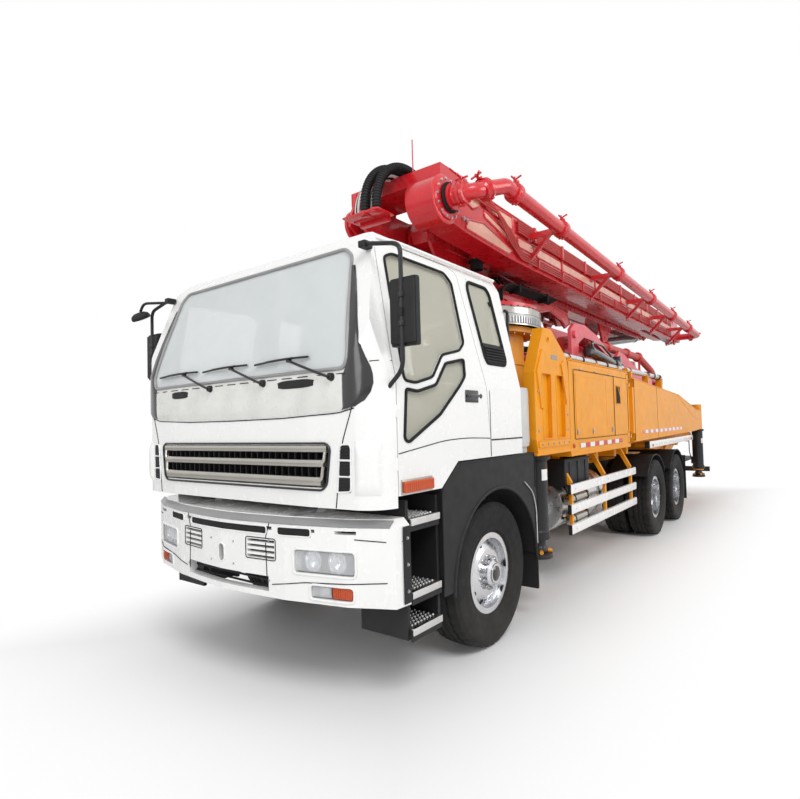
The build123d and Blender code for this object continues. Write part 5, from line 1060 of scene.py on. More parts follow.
# Side boxes: door seams, edges, latches, tubes with clamps, reflecting strips and lamps
TUBE_Y, TUBE_Z = 1.15, 2.275
TUBE_CLAMP = [(0.035, -0.016), (0.041, -0.013), (0.041, 0.013), (0.035, 0.016)]
seams = Group("box_seams", joint_and_crease_shade_black, "truck")
hardware = Group("box_latches", steel, "truck")
clamps = Group("tube_clamps", plastic, "truck")
tubes = Group("box_tubes", silver, "truck")
edges = Group("box_edges", yellow, "truck")
red_marks = Group("strips_red", red_lens, "truck")
white_marks = Group("strips_white", label_white, "truck")
lamps_side = Group("side_repeaters", amber, "truck")
for _ in both_sides():
    seams.path([(x, 1.2455, z) for x, z in frame_of(-2.83, -1.56, 1.46, 2.14)], 0.003, 8, 0.02, 3, True)
    seams.path([(-2.83, 1.2425, 1.46), (-3.39, 1.2425, 1.46), (-3.39, 1.2425, 2.14), (-2.83, 1.2425, 2.14)],
        0.003, 8, 0.02, 3)
    seams.box((-3.08, 1.2405, 1.83), (-2.92, 1.243, 2.03), 0.001)
    seams.box((-3.0, 1.2405, 1.85), (-2.94, 1.25, 2.0), 0.006)
    edges.path([(-2.91, 1.243, 2.04), (-2.91, 1.243, 1.82), (-3.09, 1.243, 1.82), (-3.09, 1.243, 1.9),
        (-2.99, 1.243, 2.04)], 0.005, 8, 0.01, 3, True)
    edges.box((-3.44, 1.238, 1.302), (-1.45, 1.2475, 1.33), 0.003)
    edges.box((-3.44, 1.2, 2.225), (-1.45, 1.236, 2.236), 0.004)
    for z0, z1 in ((1.34, 1.5), (2.06, 2.21)):
        edges.box((-3.445, 1.19, z0), (-3.34, 1.2465, z1), 0.008)
        seams.path([(-3.35, 1.2475, z0 + 0.015), (-3.435, 1.2475, z0 + 0.015), (-3.435, 1.2475, z1 - 0.015),
            (-3.35, 1.2475, z1 - 0.015)], 0.0035, 8, 0.01, 3)
        hardware.bolt((-3.4, 1.2465, (z0 + z1) / 2), (0, 1, 0), 0.012, 0.008)
    for x in (-2.09, -1.64, -2.74):
        hardware.box((x - 0.013, 1.244, 1.5), (x + 0.013, 1.253, 1.56), 0.003)
        hardware.rod((x, 1.25, 1.53), (x, 1.258, 1.53), 0.009, 14, bevel=0.002)
    for x in (-1.75, -2.2, -2.65):
        hardware.rod((x - 0.03, 1.247, 2.15), (x + 0.03, 1.247, 2.15), 0.007, 12)
    tubes.rod((-3.425, TUBE_Y, TUBE_Z), (-1.455, TUBE_Y, TUBE_Z), 0.0345, 28, bevel=0.004)
    for x in (-1.65, -2.05, -2.45, -2.85, -3.24):
        clamps.lathe(TUBE_CLAMP, (x, TUBE_Y, TUBE_Z), (1, 0, 0), 28)
        clamps.box((x - 0.014, 1.11, 2.232), (x + 0.014, 1.19, 2.255), 0.003)
    for k in range(10):
        group = white_marks if k % 2 == 0 else red_marks
        group.box((-1.69 - 0.14 * k, 1.2465, 1.372), (-1.83 - 0.14 * k, 1.249, 1.417), 0.0008)
    lamps_side.rod((-1.52, 1.244, 1.4), (-1.52, 1.258, 1.4), 0.022, 24, 0.017, 0.003)
    lamps_side.rod((-4.62, 1.222, 1.264), (-4.62, 1.236, 1.264), 0.02, 24, 0.016, 0.003)
    lamps_side.rod((-7.45, 1.222, 1.264), (-7.45, 1.236, 1.264), 0.02, 24, 0.016, 0.003)

for tag in both_sides():
    body = f"rear_outrigger_{tag}"
    tube = Group(f"leg_tube_{tag}", silver, body)
    tube.rod((-5.555, TUBE_Y, TUBE_Z), (-3.685, TUBE_Y, TUBE_Z), 0.0345, 28, bevel=0.004)
    clamp = Group(f"leg_clamps_{tag}", plastic, body)
    for x in (-3.81, -4.66, -4.74, -5.1, -5.4, -5.46):
        clamp.lathe(TUBE_CLAMP, (x, TUBE_Y, TUBE_Z), (1, 0, 0), 28)
    clamp.path([(-5.5, TUBE_Y, TUBE_Z), (-5.62, TUBE_Y, TUBE_Z), (-5.66, 1.14, 2.2), (-5.66, 1.13, 2.08)],
        0.02, 10, 0.05, 6)
    edge = Group(f"leg_edges_{tag}", yellow, body)
    top_line = [(-3.64, 2.168), (-4.76, 2.112), (-6.4, 2.032), (-8.0, 1.792), (-8.5, 1.772)]
    low_line = [(-3.64, 1.352), (-7.6, 1.392), (-8.5, 1.42)]
    edge.path([(x, 1.238, z - 0.004) for x, z in top_line], 0.008, 8, 0.1, 5)
    edge.path([(x, 1.238, z + 0.006) for x, z in low_line], 0.008, 8, 0.1, 5)
    edge.path([(-6.3, 1.2405, 2.02), (-7.72, 1.2405, 1.64), (-8.45, 1.2405, 1.6)], 0.004, 8, 0.2, 6)
    edge.box((-8.505, 1.03, 1.43), (-8.49, 1.242, 1.77), 0.003)
    edge.lathe([(0.0, 0.02), (0.05, 0.018), (0.055, 0.008), (0.055, -0.02)], (-3.56, 1.13, 2.115), (0, 0, 1),
        32)
    edge.path([(-8.46, 1.2, 1.77), (-8.46, 1.2, 1.85), (-8.34, 1.2, 1.85), (-8.34, 1.2, 1.77)], 0.011, 10,
        0.04, 5)
    red_strip = Group(f"leg_strip_red_{tag}", red_lens, body)
    white_strip = Group(f"leg_strip_white_{tag}", label_white, body)
    for k in range(18):
        group = red_strip if k % 2 == 0 else white_strip
        x = -4.05 - 0.14 * k
        group.box((x, 1.2395, 1.445), (x - 0.14, 1.2425, 1.49), 0.0008)
    seam = Group(f"leg_seams_{tag}", joint_and_crease_shade_black, body)
    seam.path([(-3.7, 1.2405, 1.36), (-3.7, 1.2405, 2.16)], 0.003, 8)
    seam.path([(-4.9, 1.2405, 1.375), (-4.9, 1.2405, 2.1)], 0.002, 8)

# Slewing ring with bolts and teeth, drive motors, pedestal bolts
TOWER_X = -1.95
ring = Group("ring_teeth", steel, "truck")
for a in turns(120):
    c, s = cos(a), sin(a)
    ring.box((TOWER_X + 0.70, -0.008, 2.69), (TOWER_X + 0.712, 0.008, 2.76), 0.002,
        Matrix.Rotation(a, 3, "Z"), (TOWER_X, 0, 0))
ring = Group("ring_bolts", paint_black, "truck")
for a in turns(48):
    ring.bolt((TOWER_X + 0.676 * cos(a), 0.676 * sin(a), 2.86), (0, 0, 1), 0.012, 0.018)
ring = Group("ring_bands", bar_silver, "truck")
ring.lathe([(0.7, 2.785), (0.706, 2.788), (0.706, 2.852), (0.698, 2.862), (0.66, 2.8625)], (TOWER_X, 0, 0),
    (0, 0, 1), 96)
ring.lathe([(0.7, 2.67), (0.704, 2.671), (0.704, 2.684), (0.7, 2.686)], (TOWER_X, 0, 0), (0, 0, 1), 96)
motors = Group("slew_motors", paint_black, "truck")
for x, y in ((-1.3, 0.42), (-1.3, -0.42)):
    motors.lathe([(0.0, 0.0), (0.07, 0.002), (0.075, 0.01), (0.075, 0.16), (0.09, 0.165), (0.09, 0.2),
        (0.06, 0.205), (0.06, 0.33), (0.105, 0.335), (0.105, 0.36), (0.0, 0.362)], (x, y, 2.31), (0, 0, 1),
        36)
    motors.path([(x + 0.02, y, 2.32), (x + 0.02, y, 2.2), (x - 0.1, y * 0.9, 2.1),
        (x - 0.12, y * 0.85, 1.45)], 0.018, 10, 0.08, 6)
base = Group("pedestal_bolts", steel, "truck")
for a in turns(24, 0.5):
    base.bolt((TOWER_X + 0.6 * cos(a), 0.6 * sin(a), 2.61), (0, 0, -1), 0.012, 0.016)
for x in (-2.53, -2.2, -1.7, -1.37):
    for y in (-0.66, 0.66):
        base.bolt((x, y, 1.41), (0, 0, 1), 0.014, 0.016)
base = Group("pedestal_bands", yellow, "truck")
for z in (1.62, 2.3):
    base.lathe([(0.5, -0.03), (0.512, -0.026), (0.512, 0.026), (0.5, 0.03)], (TOWER_X, 0, z), (0, 0, 1), 72)
oil = Group("oil_lines", plastic, "truck")
for k in range(5):
    y = 0.12 + 0.05 * k
    oil.path([(-1.44, y, 2.55), (-1.40, y, 2.2), (-1.36, y, 1.7), (-1.36, y + 0.2, 1.45), (-1.5, 0.75, 1.4)],
        0.014, 8, 0.12, 6)

# Air filter with its intake pipe, and silencer, between cab and tower
BEHIND_CAB_X = -0.56
intake = Group("air_intake", plastic, "truck")
intake.lathe([(0.0, 0.0), (0.15, 0.002), (0.17, 0.02), (0.17, 0.36), (0.18, 0.365), (0.18, 0.4),
    (0.16, 0.41), (0.16, 0.5), (0.0, 0.51)], (BEHIND_CAB_X, -0.55, 1.5), (0, 0, 1), 40)
intake.path([(BEHIND_CAB_X, -0.55, 2.0), (BEHIND_CAB_X, -0.55, 2.3), (BEHIND_CAB_X, -0.3, 2.5),
    (BEHIND_CAB_X, -0.25, 2.75)], 0.075, 20, 0.14, 8)
for k in range(10):
    intake.ring((BEHIND_CAB_X, -0.55, 2.03 + 0.022 * k), (0, 0, 1), 0.077, 0.006, 32, 8)
muffler = Group("silencer", silver, "truck")
muffler.lathe([(0.0, 0.0), (0.07, 0.004), (0.11, 0.03), (0.115, 0.05), (0.115, 0.72), (0.11, 0.74),
    (0.07, 0.77), (0.0, 0.775)], (BEHIND_CAB_X, 0.75, 1.36), (0, 0, 1), 40)
muffler.path([(BEHIND_CAB_X, 0.75, 2.1), (BEHIND_CAB_X, 0.75, 2.4), (-0.6, 0.75, 2.5)], 0.045, 16, 0.08, 6)

# Collar of the hopper, control box, plates of the deck, brake chambers and hoses of the pump
collar = Group("hopper_collar", rubber, "truck")
collar.sheet([[(-9.2 + 0.535 * sx, 0.755 * sy, z) for sx, sy in ((-1, -1), (-1, 0), (-1, 1), (0, 1), (1, 1))]
    for z in (1.5, 1.53, 1.56)], (0.008, 0.004, 0))
panel = Group("control_box", satin_black, "truck")
panel.box((-8.66, -1.0, 1.42), (-8.45, -0.78, 1.68), 0.012)
for k in range(5):
    panel.rod((-8.64 + 0.045 * k, -1.0, 1.6), (-8.64 + 0.045 * k, -1.03, 1.62), 0.006, 10)
    panel.rod((-8.64 + 0.045 * k, -1.03, 1.62), (-8.64 + 0.045 * k, -1.045, 1.63), 0.012, 14, bevel=0.003)
plates = Group("deck_plates", silver, "truck")
for _ in both_sides():
    for x0, x1 in ((-4.05, -2.7), (-5.4, -4.1), (-6.75, -5.45), (-8.1, -6.8)):
        plates.box((x0, 0.62, 1.349), (x1, 0.9, 1.354), 0.0015)
        for i in range(22):
            for j in range(4):
                x, y = x0 + 0.03 + 0.0595 * i, 0.65 + 0.07 * j
                plates.box((x, y, 1.353), (x + 0.03, y + 0.008, 1.357), 0.0015)
brakes = Group("brake_chambers", paint_black, "truck")
for _ in both_sides():
    for x in REAR_AXLES:
        brakes.lathe([(0.0, 0.0), (0.07, 0.003), (0.082, 0.02), (0.082, 0.06), (0.09, 0.064), (0.09, 0.074),
            (0.082, 0.078), (0.08, 0.14), (0.05, 0.17), (0.0, 0.172)], (x + 0.24, 0.43, 0.62), (1, 0, 0.1),
            32)
        brakes.rod((x + 0.25, 0.43, 0.62), (x + 0.02, 0.43, 0.6), 0.014, 12)
hoses = Group("pump_hoses", plastic, "truck")
for _ in both_sides():
    for k in range(3):
        y = 0.1 + 0.05 * k
        hoses.path([(-4.36, y, 1.2), (-4.36, y, 1.42), (-4.1, y * 1.3, 1.42), (-3.4, y * 1.3, 1.41),
            (-2.7, y * 1.3, 1.41), (-2.5, y * 1.2, 1.6)], 0.018, 10, 0.12, 6)

# Battery box and air tanks in front of the fuel tank; housing behind the cab
battery = Group("battery_boxes", plastic, "truck")
air = Group("air_tanks", bar_silver, "truck")
housing = Group("rear_cab_housings", frame_pale, "truck")
for _ in both_sides():
    battery.box((-2.18, 0.97, 1.0), (-1.5, 1.15, 1.27), 0.02)
    battery.box((-2.2, 0.96, 1.235), (-1.48, 1.16, 1.262), 0.008)
    for x in (-1.62, -1.84, -2.06):
        battery.box((x - 0.012, 1.148, 1.01), (x + 0.012, 1.158, 1.24), 0.003)
    for z in (0.665, 0.865):
        air.lathe([(0.0, 0.0), (0.03, 0.004), (0.05, 0.02), (0.056, 0.045), (0.056, 0.47), (0.05, 0.495),
            (0.03, 0.511), (0.0, 0.515)], (-1.62, 1.122, z), (-1, 0, 0), 32)
        for x in (-1.7, -2.05):
            battery.lathe([(0.0565, -0.012), (0.0595, -0.01), (0.0595, 0.01), (0.0565, 0.012)],
                (x, 1.122, z), (1, 0, 0), 32)
            battery.box((x - 0.012, 1.0, z - 0.012), (x + 0.012, 1.075, z + 0.012), 0.003)
    housing.box((-0.62, 1.0, 1.43), (-0.45, 1.215, 1.93), 0.05)
    housing.box((-0.6, 1.03, 1.3), (-0.47, 1.19, 1.45), 0.02)

# Pump's delivery pipe up to the tower, with couplings, valve blocks and oil hoses between the side boxes
COUPLING = ((0.003, -0.046), (0.019, -0.042), (0.024, -0.016), (0.015, 0.0), (0.024, 0.016), (0.019, 0.042),
    (0.003, 0.046))


def ringed(group, place, axis, radius):
    """Collar of a pipe coupling."""
    group.lathe([(radius + r, h) for r, h in COUPLING], place, axis, 32)


LINE_Y, LINE_Z = 0.52, 2.42
line = Group("deck_delivery_pipe", red, "truck")
line.path([(-8.3, LINE_Y, 1.48), (-8.3, LINE_Y, 2.36), (-7.4, LINE_Y, LINE_Z), (-2.75, LINE_Y, LINE_Z),
    (-2.55, 0.3, 2.42), (-2.46, 0.2, 2.42)], 0.066, 20, 0.16, 8)
for x in (-7.0, -5.4, -3.8, -2.95):
    ringed(line, (x, LINE_Y, LINE_Z), (1, 0, 0), 0.067)
    line.box((x + 0.2, 0.5, 1.35), (x + 0.25, 0.54, 2.37), 0.006)
    line.box((x + 0.18, 0.44, 2.33), (x + 0.27, 0.60, 2.36), 0.005)
ringed(line, (-8.3, LINE_Y, 1.8), (0, 0, 1), 0.067)
# Boom rest in the salmon colour that holds painted highlight.
rest = Group("boom_rest", pink_and_painted_highlight, "truck")
for _ in both_sides():
    rest.plate([(0.10, 2.62), (0.34, 2.72), (0.42, 2.70), (0.58, 1.36), (0.46, 1.36), (0.34, 2.5),
        (0.10, 2.5)], -6.98, -6.90, "X", 0.006)
    rest.plate([(-6.9, 2.2), (-6.9, 2.35), (-6.3, 1.42), (-6.3, 1.36), (-6.42, 1.36)], 0.42, 0.46, "Y", 0.004)
rest.box((-7.0, -0.42, 2.50), (-6.88, 0.42, 2.60), 0.008)
pads = Group("boom_rest_pads", rubber, "truck")
pads.box((-7.02, -0.28, 2.60), (-6.86, 0.28, 2.645), 0.01)
# Valve blocks in the salmon colour that holds painted highlight.
blocks = Group("valve_blocks", pink_and_painted_highlight, "truck")
blocks.box((-4.25, -0.32, 2.02), (-3.35, 0.32, 2.52), 0.02)
blocks.box((-4.32, -0.36, 1.36), (-3.28, 0.36, 2.03), 0.02)
blocks.box((-5.95, -0.30, 1.36), (-4.75, 0.30, 2.28), 0.03)
blocks.rod((-5.3, 0, 2.27), (-5.3, 0, 2.33), 0.13, 32, bevel=0.006)
fits = Group("valve_fittings", steel, "truck")
cables = Group("valve_hoses", rubber, "truck")
for k in range(7):
    x = -4.18 + 0.125 * k
    fits.rod((x, 0.30, 2.4), (x, 0.345, 2.4), 0.022, 12, bevel=0.003)
    fits.rod((x, 0.12, 2.51), (x, 0.12, 2.57), 0.03, 16, bevel=0.004)
    cables.path([(x, 0.34, 2.4), (x, 0.4, 2.4), (x + 0.05, 0.43, 2.1), (x + 0.1, 0.42, 1.6),
        (x + 0.12, 0.42, 1.37)], 0.014, 8, 0.06, 5)
    cables.path([(x, 0.12, 2.56), (x, 0.12, 2.62 + 0.008 * k), (x + 0.12, 0.1, 2.66 + 0.008 * k),
        (-2.9, 0.05 + 0.03 * k, 2.6), (-2.5, 0.02 + 0.03 * k, 2.4)], 0.014, 8, 0.1, 6)

# Frames, cylinder and pipes that fill the deck under the boom
RAM_Y = 0.93
frames = Group("deck_frames", rose, "truck")
shafts = Group("deck_cylinders", black_gloss, "truck")
rods = Group("deck_cylinder_rods", chrome, "truck")
elbows = Group("deck_pipes", tube_red, "truck")
collars = Group("deck_pipe_collars", red, "truck")
REAR_FRAME = [(-2.62, 2.05), (-2.62, 2.72), (-2.74, 2.80), (-3.1, 2.82), (-3.55, 2.74), (-4.05, 2.56),
    (-4.42, 2.34), (-4.42, 2.05), (-4.3, 2.05), (-4.2, 2.36), (-3.8, 2.56), (-3.4, 2.66), (-3.05, 2.67),
    (-2.86, 2.58), (-2.8, 2.3), (-2.8, 2.05)]
END_FRAME = [(-4.62, 2.0), (-4.58, 2.56), (-4.72, 2.66), (-5.0, 2.62), (-5.6, 2.46), (-6.5, 2.40),
    (-6.62, 2.3), (-6.62, 2.0), (-6.4, 2.0), (-6.35, 2.2), (-5.2, 2.28), (-4.95, 2.0)]
for _ in both_sides():
    frames.plate(REAR_FRAME, 0.80, 0.845, "Y", 0.005)
    frames.plate(END_FRAME, 0.74, 0.785, "Y", 0.005)
    for x, z in ((-2.7, 2.66), (-4.34, 2.3)):
        frames.rod((x, 0.79, z), (x, 0.875, z), 0.045, 24, bevel=0.004)
    shafts.rod((-2.95, RAM_Y, 2.48), (-3.98, RAM_Y, 2.39), 0.062, 28, bevel=0.006)
    shafts.rod((-2.95, RAM_Y, 2.48), (-3.01, RAM_Y, 2.475), 0.074, 28, bevel=0.005)
    shafts.rod((-3.9, RAM_Y, 2.397), (-4.0, RAM_Y, 2.388), 0.075, 28, bevel=0.005)
    shafts.box((-4.06, 0.86, 2.28), (-4.0, 1.0, 2.50), 0.006)
    rods.rod((-4.05, RAM_Y, 2.385), (-4.3, RAM_Y, 2.362), 0.034, 24)
    shafts.ring((-4.33, RAM_Y, 2.36), (0, 1, 0), 0.042, 0.02, 28)
    shafts.path([(-3.1, RAM_Y, 2.54), (-3.1, RAM_Y, 2.6), (-3.5, 0.92, 2.6), (-3.85, 0.92, 2.5),
        (-3.85, RAM_Y, 2.46)], 0.014, 10, 0.05, 5)
for y in (-0.62, 0.66):
    elbows.path([(-2.75, y, 2.60), (-3.4, y, 2.70), (-6.3, y, 2.70), (-7.1, y, 2.52), (-7.9, y * 0.8, 2.42),
        (-7.9, y * 0.8, 1.37)], 0.058, 20, 0.14, 7)
    for x in (-3.5, -4.5, -5.5, -6.2):
        ringed(collars, (x, y, 2.70), (1, 0, 0), 0.06)
        collars.box((x - 0.12, y - 0.015, 1.9), (x - 0.08, y + 0.015, 2.65), 0.005)
MIDDLE_FRAME = [(-2.66, 1.37), (-2.66, 2.76), (-2.8, 2.81), (-4.3, 2.81), (-5.6, 2.72), (-6.6, 2.5),
    (-7.1, 2.2), (-7.2, 1.9), (-7.2, 1.37)]
for y in (-0.5, 0.46):
    collars.plate(MIDDLE_FRAME, y, y + 0.03, "Y", 0.004)
for x in (-2.7, -3.6, -4.66, -5.7, -6.5):
    frames.box((x - 0.03, -0.8, 2.06), (x + 0.03, 0.8, 2.14), 0.006)

# Boom: panels, frames, tube bundles, couplings, hoses
HEAD_X, HEAD_Z = -0.32, 3.58
PIPE = 0.07
THIN_PIPE = 0.0105
REAR_PIN_X = -9.3
END_PIN_X = -9.945
ARM_3_FACE = 0.62
ARM_2_FACE = -0.42
ARM_3_TUBES_Y = 0.642


def arm_3_top(x):
    return 3.835 + (x + 1.22) * 0.00883


def frame_line(group, points, y, thick):
    """Raised rib around an outline on the face of an arm."""
    group.path([(x, y, z) for x, z in points], thick, 6, 0.02, 2, True)


def tubes_with_clamps(pipes, clips, x0, x1, y, side, heights, pitch):
    """Thin pipes side by side along an arm, with the clamps that hold them."""
    for z0, z1 in heights:
        pipes.path([(x0, y, z0), ((x0 + x1) / 2, y, (z0 + z1) / 2), (x1, y, z1)], THIN_PIPE, 8, 0.02, 1)
    count = max(2, round(abs(x1 - x0) / pitch))
    for k in range(count):
        x = x0 + (x1 - x0) * (k + 0.5) / count
        t = (x - x0) / (x1 - x0)
        low = min(a + (b - a) * t for a, b in heights)
        high = max(a + (b - a) * t for a, b in heights)
        clips.box((x - 0.022, y - 0.018, low - 0.022), (x + 0.022, y + 0.018, high + 0.022), 0.004)
        clips.bolt((x, y + side * 0.018, low - 0.008), (0, side, 0), 0.007, 0.006)
        clips.bolt((x, y + side * 0.018, high + 0.008), (0, side, 0), 0.007, 0.006)


def coupling(group, place, axis, radius):
    """Pipe coupling: collar round the joint, lugs and the cross-shaped lever."""
    t = Vector(axis).normalized()
    place = Vector(place)
    ringed(group, place, t, radius)
    up = (Vector((0, 0, 1)) - t * t.z).normalized()
    across = t.cross(up)
    top = place + up * (radius + 0.028)
    group.rod(top - across * 0.045, top + across * 0.045, 0.013, 12, bevel=0.003)
    group.path([top, top + up * 0.035 + across * 0.02, top + up * 0.05 + across * 0.07], 0.009, 8, 0.02, 3)
    group.rod(top + up * 0.038 - t * 0.06, top + up * 0.038 + t * 0.06, 0.009, 10, bevel=0.002)
    group.rod(top, top + up * 0.055, 0.011, 10, bevel=0.002)
    low = place - up * (radius + 0.026)
    group.rod(low - t * 0.03, low + t * 0.03, 0.012, 12, bevel=0.002)
    group.rod(low - across * 0.03, low + across * 0.03, 0.009, 10, bevel=0.002)


def pin_cap(group, x, y, z, side, radius=0.066):
    """End of a hinge pin with its keeper plate and bolts."""
    group.lathe([(radius + 0.045, -0.003), (radius + 0.045, 0.008), (radius + 0.01, 0.01), (radius, 0.012),
        (radius, 0.024), (radius - 0.008, 0.03), (0.02, 0.031), (0.0, 0.027)], (x, y, z), (0, side, 0), 40)
    for a in (0.5 + t for t in turns(4)):
        group.bolt((x + (radius + 0.028) * cos(a), y + side * 0.006, z + (radius + 0.028) * sin(a)),
            (0, side, 0), 0.011, 0.011)


beam = Group("arm_3_frames", red, "arm_3")
# Side panels of arm 3 in the salmon colour that holds painted highlight.
panel = Group("arm_3_panels", pink_and_painted_highlight, "arm_3")
pipes = Group("arm_3_tubes", tube_red, "arm_3")
clips = Group("arm_3_clamps", red, "arm_3")
HEAD_PANELS = (
    [(-0.56, 3.71), (-0.52, 3.80), (-0.62, 3.865), (-0.84, 3.845), (-0.95, 3.71), (-0.80, 3.64)],
    [(-1.02, 3.70), (-1.66, 3.56), (-1.66, 3.50), (-1.02, 3.63)],
    [(-0.72, 3.52), (-1.0, 3.565), (-1.62, 3.44), (-1.52, 3.385), (-0.66, 3.425)],
    [(-1.0, 3.80), (-1.62, 3.80), (-1.62, 3.66), (-1.06, 3.74)],
)
for outline in HEAD_PANELS:
    panel.plate(outline, ARM_3_FACE - 0.0005, ARM_3_FACE + 0.0025, "Y", 0.001)
    frame_line(beam, outline, ARM_3_FACE + 0.001, 0.011)
for x0, x1 in ((-1.75, -2.95), (-3.0, -4.2), (-4.25, -5.45), (-5.5, -6.7), (-6.75, -7.95), (-8.0, -9.05)):
    outline = frame_of(x0, x1, 3.525, 3.625)
    panel.plate(outline, ARM_3_FACE - 0.0005, ARM_3_FACE + 0.0025, "Y", 0.001)
    frame_line(beam, outline, ARM_3_FACE + 0.001, 0.008)
    beam.box((x1 - 0.035, 0.618, 3.365), (x1 - 0.015, 0.632, arm_3_top(x1) - 0.01), 0.003)
beam.path([(-0.42, ARM_3_FACE, 3.888), (-1.22, ARM_3_FACE, 3.833), (-9.145, ARM_3_FACE, 3.763)], 0.009, 8,
    0.1, 4)
beam.path([(-0.32, ARM_3_FACE, 3.432), (-0.62, ARM_3_FACE, 3.392), (-1.52, ARM_3_FACE, 3.349),
    (-9.145, ARM_3_FACE, 3.352)], 0.009, 8, 0.1, 4)
beam.path([(-0.42, 0.35, 3.888), (-1.22, 0.35, 3.833), (-9.145, 0.35, 3.763)], 0.007, 8, 0.1, 4)
beam.box((-9.1, 0.50, 3.352), (-1.55, 0.625, 3.342), 0.002)
beam.lathe([(0.155, -0.004), (0.21, 0.0), (0.212, 0.012), (0.2, 0.02), (0.18, 0.022), (0.175, 0.04),
    (0.15, 0.046), (0.1, 0.048), (0.1, 0.0)], (HEAD_X, ARM_3_FACE, HEAD_Z), (0, 1, 0), 56)
beam.lathe([(0.07, 0.0), (0.112, 0.002), (0.114, 0.022), (0.082, 0.03), (0.07, 0.06)],
    (HEAD_X, 0.70, HEAD_Z), (0, 1, 0), 48)
tubes_with_clamps(pipes, clips, -1.72, -9.05, ARM_3_TUBES_Y, 1,
    [(arm_3_top(-1.72) - 0.028 - 0.0255 * k, arm_3_top(-9.05) - 0.028 - 0.0225 * k) for k in range(6)], 0.85)
tubes_with_clamps(pipes, clips, -1.85, -9.0, ARM_3_TUBES_Y, 1,
    [(3.395 + 0.026 * k, 3.395 + 0.026 * k) for k in range(4)], 0.7)
for k in range(4):
    z = arm_3_top(-1.2) - 0.03 - 0.0255 * k
    pipes.path([(-0.72 - 0.02 * k, ARM_3_TUBES_Y, z + 0.02), (-1.15 - 0.05 * k, 0.655, z),
        (-1.5 - 0.04 * k, 0.655, 3.50 + 0.02 * k), (-1.78, ARM_3_TUBES_Y, 3.395 + 0.026 * k),
        (-1.86, ARM_3_TUBES_Y, 3.395 + 0.026 * k)], THIN_PIPE, 8, 0.09, 4)
pipes.path([(-2.1, ARM_3_TUBES_Y, 3.50), (-2.1, ARM_3_TUBES_Y, 3.60), (-2.3, ARM_3_TUBES_Y, 3.66)], 0.008, 8,
    0.02, 3)
pipes.path([(-2.18, ARM_3_TUBES_Y, 3.50), (-2.18, ARM_3_TUBES_Y, 3.62), (-2.35, ARM_3_TUBES_Y, 3.69)], 0.008,
    8, 0.02, 3)
boss_ring = Group("arm_3_boss_seal", rubber, "arm_3")
boss_ring.lathe([(0.07, 0.0), (0.125, 0.002), (0.132, 0.012), (0.125, 0.03), (0.07, 0.032)],
    (HEAD_X, 0.668, HEAD_Z), (0, 1, 0), 48)
bolts = Group("arm_3_bolts", steel, "arm_3")
for a in turns(14):
    bolts.bolt((HEAD_X + 0.165 * cos(a), 0.662, HEAD_Z + 0.165 * sin(a)), (0, 1, 0), 0.011, 0.011)
joints = Group("arm_3_couplings", red, "arm_3")
for share in (0.02, 0.14, 0.36, 0.55, 0.72, 0.88):
    x, z = -0.73 - 9.215 * share, 3.73 - 0.26 * share
    coupling(joints, (x, 1.0, z), (-1, 0, -0.0282), PIPE)
    if share > 0.05:
        joints.box((x - 0.045, 0.614, z - 0.05), (x + 0.045, 0.632, z + 0.05), 0.004)
        joints.box((x - 0.045, 0.614, z - 0.32), (x + 0.045, 0.632, z - 0.22), 0.004)
        for dz in (-0.035, 0.035, -0.3, -0.24):
            bolts.bolt((x + 0.033, 0.632, z + dz), (0, 1, 0), 0.009, 0.009)
            bolts.bolt((x - 0.033, 0.632, z + dz), (0, 1, 0), 0.009, 0.009)
coupling(joints, (-0.5, 0.925, 3.645), (-0.6, 0.4, 0.55), PIPE)
coupling(joints, (HEAD_X, 0.80, HEAD_Z), (0, 1, 0), PIPE)
coupling(joints, (END_PIN_X, 0.86, 3.47), (0, 1, 0), PIPE)
joints.path([(-9.8, 1.07, 3.5), (-9.95, 1.07, 3.5), (-9.95, 0.98, 3.5)], 0.012, 8, 0.05, 4)
for x in (-0.68, -0.62):
    bolts.bolt((x, 0.625, 3.50), (0, 1, 0), 0.016, 0.014)
caps = Group("arm_3_pins", red, "arm_3")
pin_cap(caps, END_PIN_X, ARM_3_FACE, 3.50, 1)
pin_cap(caps, HEAD_X, -0.42, HEAD_Z, -1)
for y in (-0.36, -0.1, 0.15, 0.42):
    caps.box((-0.66, y - 0.012, 3.893), (-0.33, y + 0.012, 3.93), 0.004)
caps.path([(-0.52, -0.2, 3.895), (-0.52, -0.2, 3.99), (-0.44, -0.2, 3.99), (-0.44, -0.2, 3.895)], 0.012, 10,
    0.03, 5)

# Hoses round the head
ribbed = Group("ribbed_hoses", plastic, "arm_3")
thin = Group("thin_hoses_white", label_white, "arm_3")
black_thin = Group("thin_hoses_black", rubber, "arm_3")


def head_arc(y, radius, start, end, lean):
    """Points round the front hinge, from an angle to an angle, leaning across."""
    angles = enumerate(spread(start, end, 12))
    return [(HEAD_X + radius * cos(a), y + lean * k / 12, HEAD_Z + radius * sin(a)) for k, a in angles]


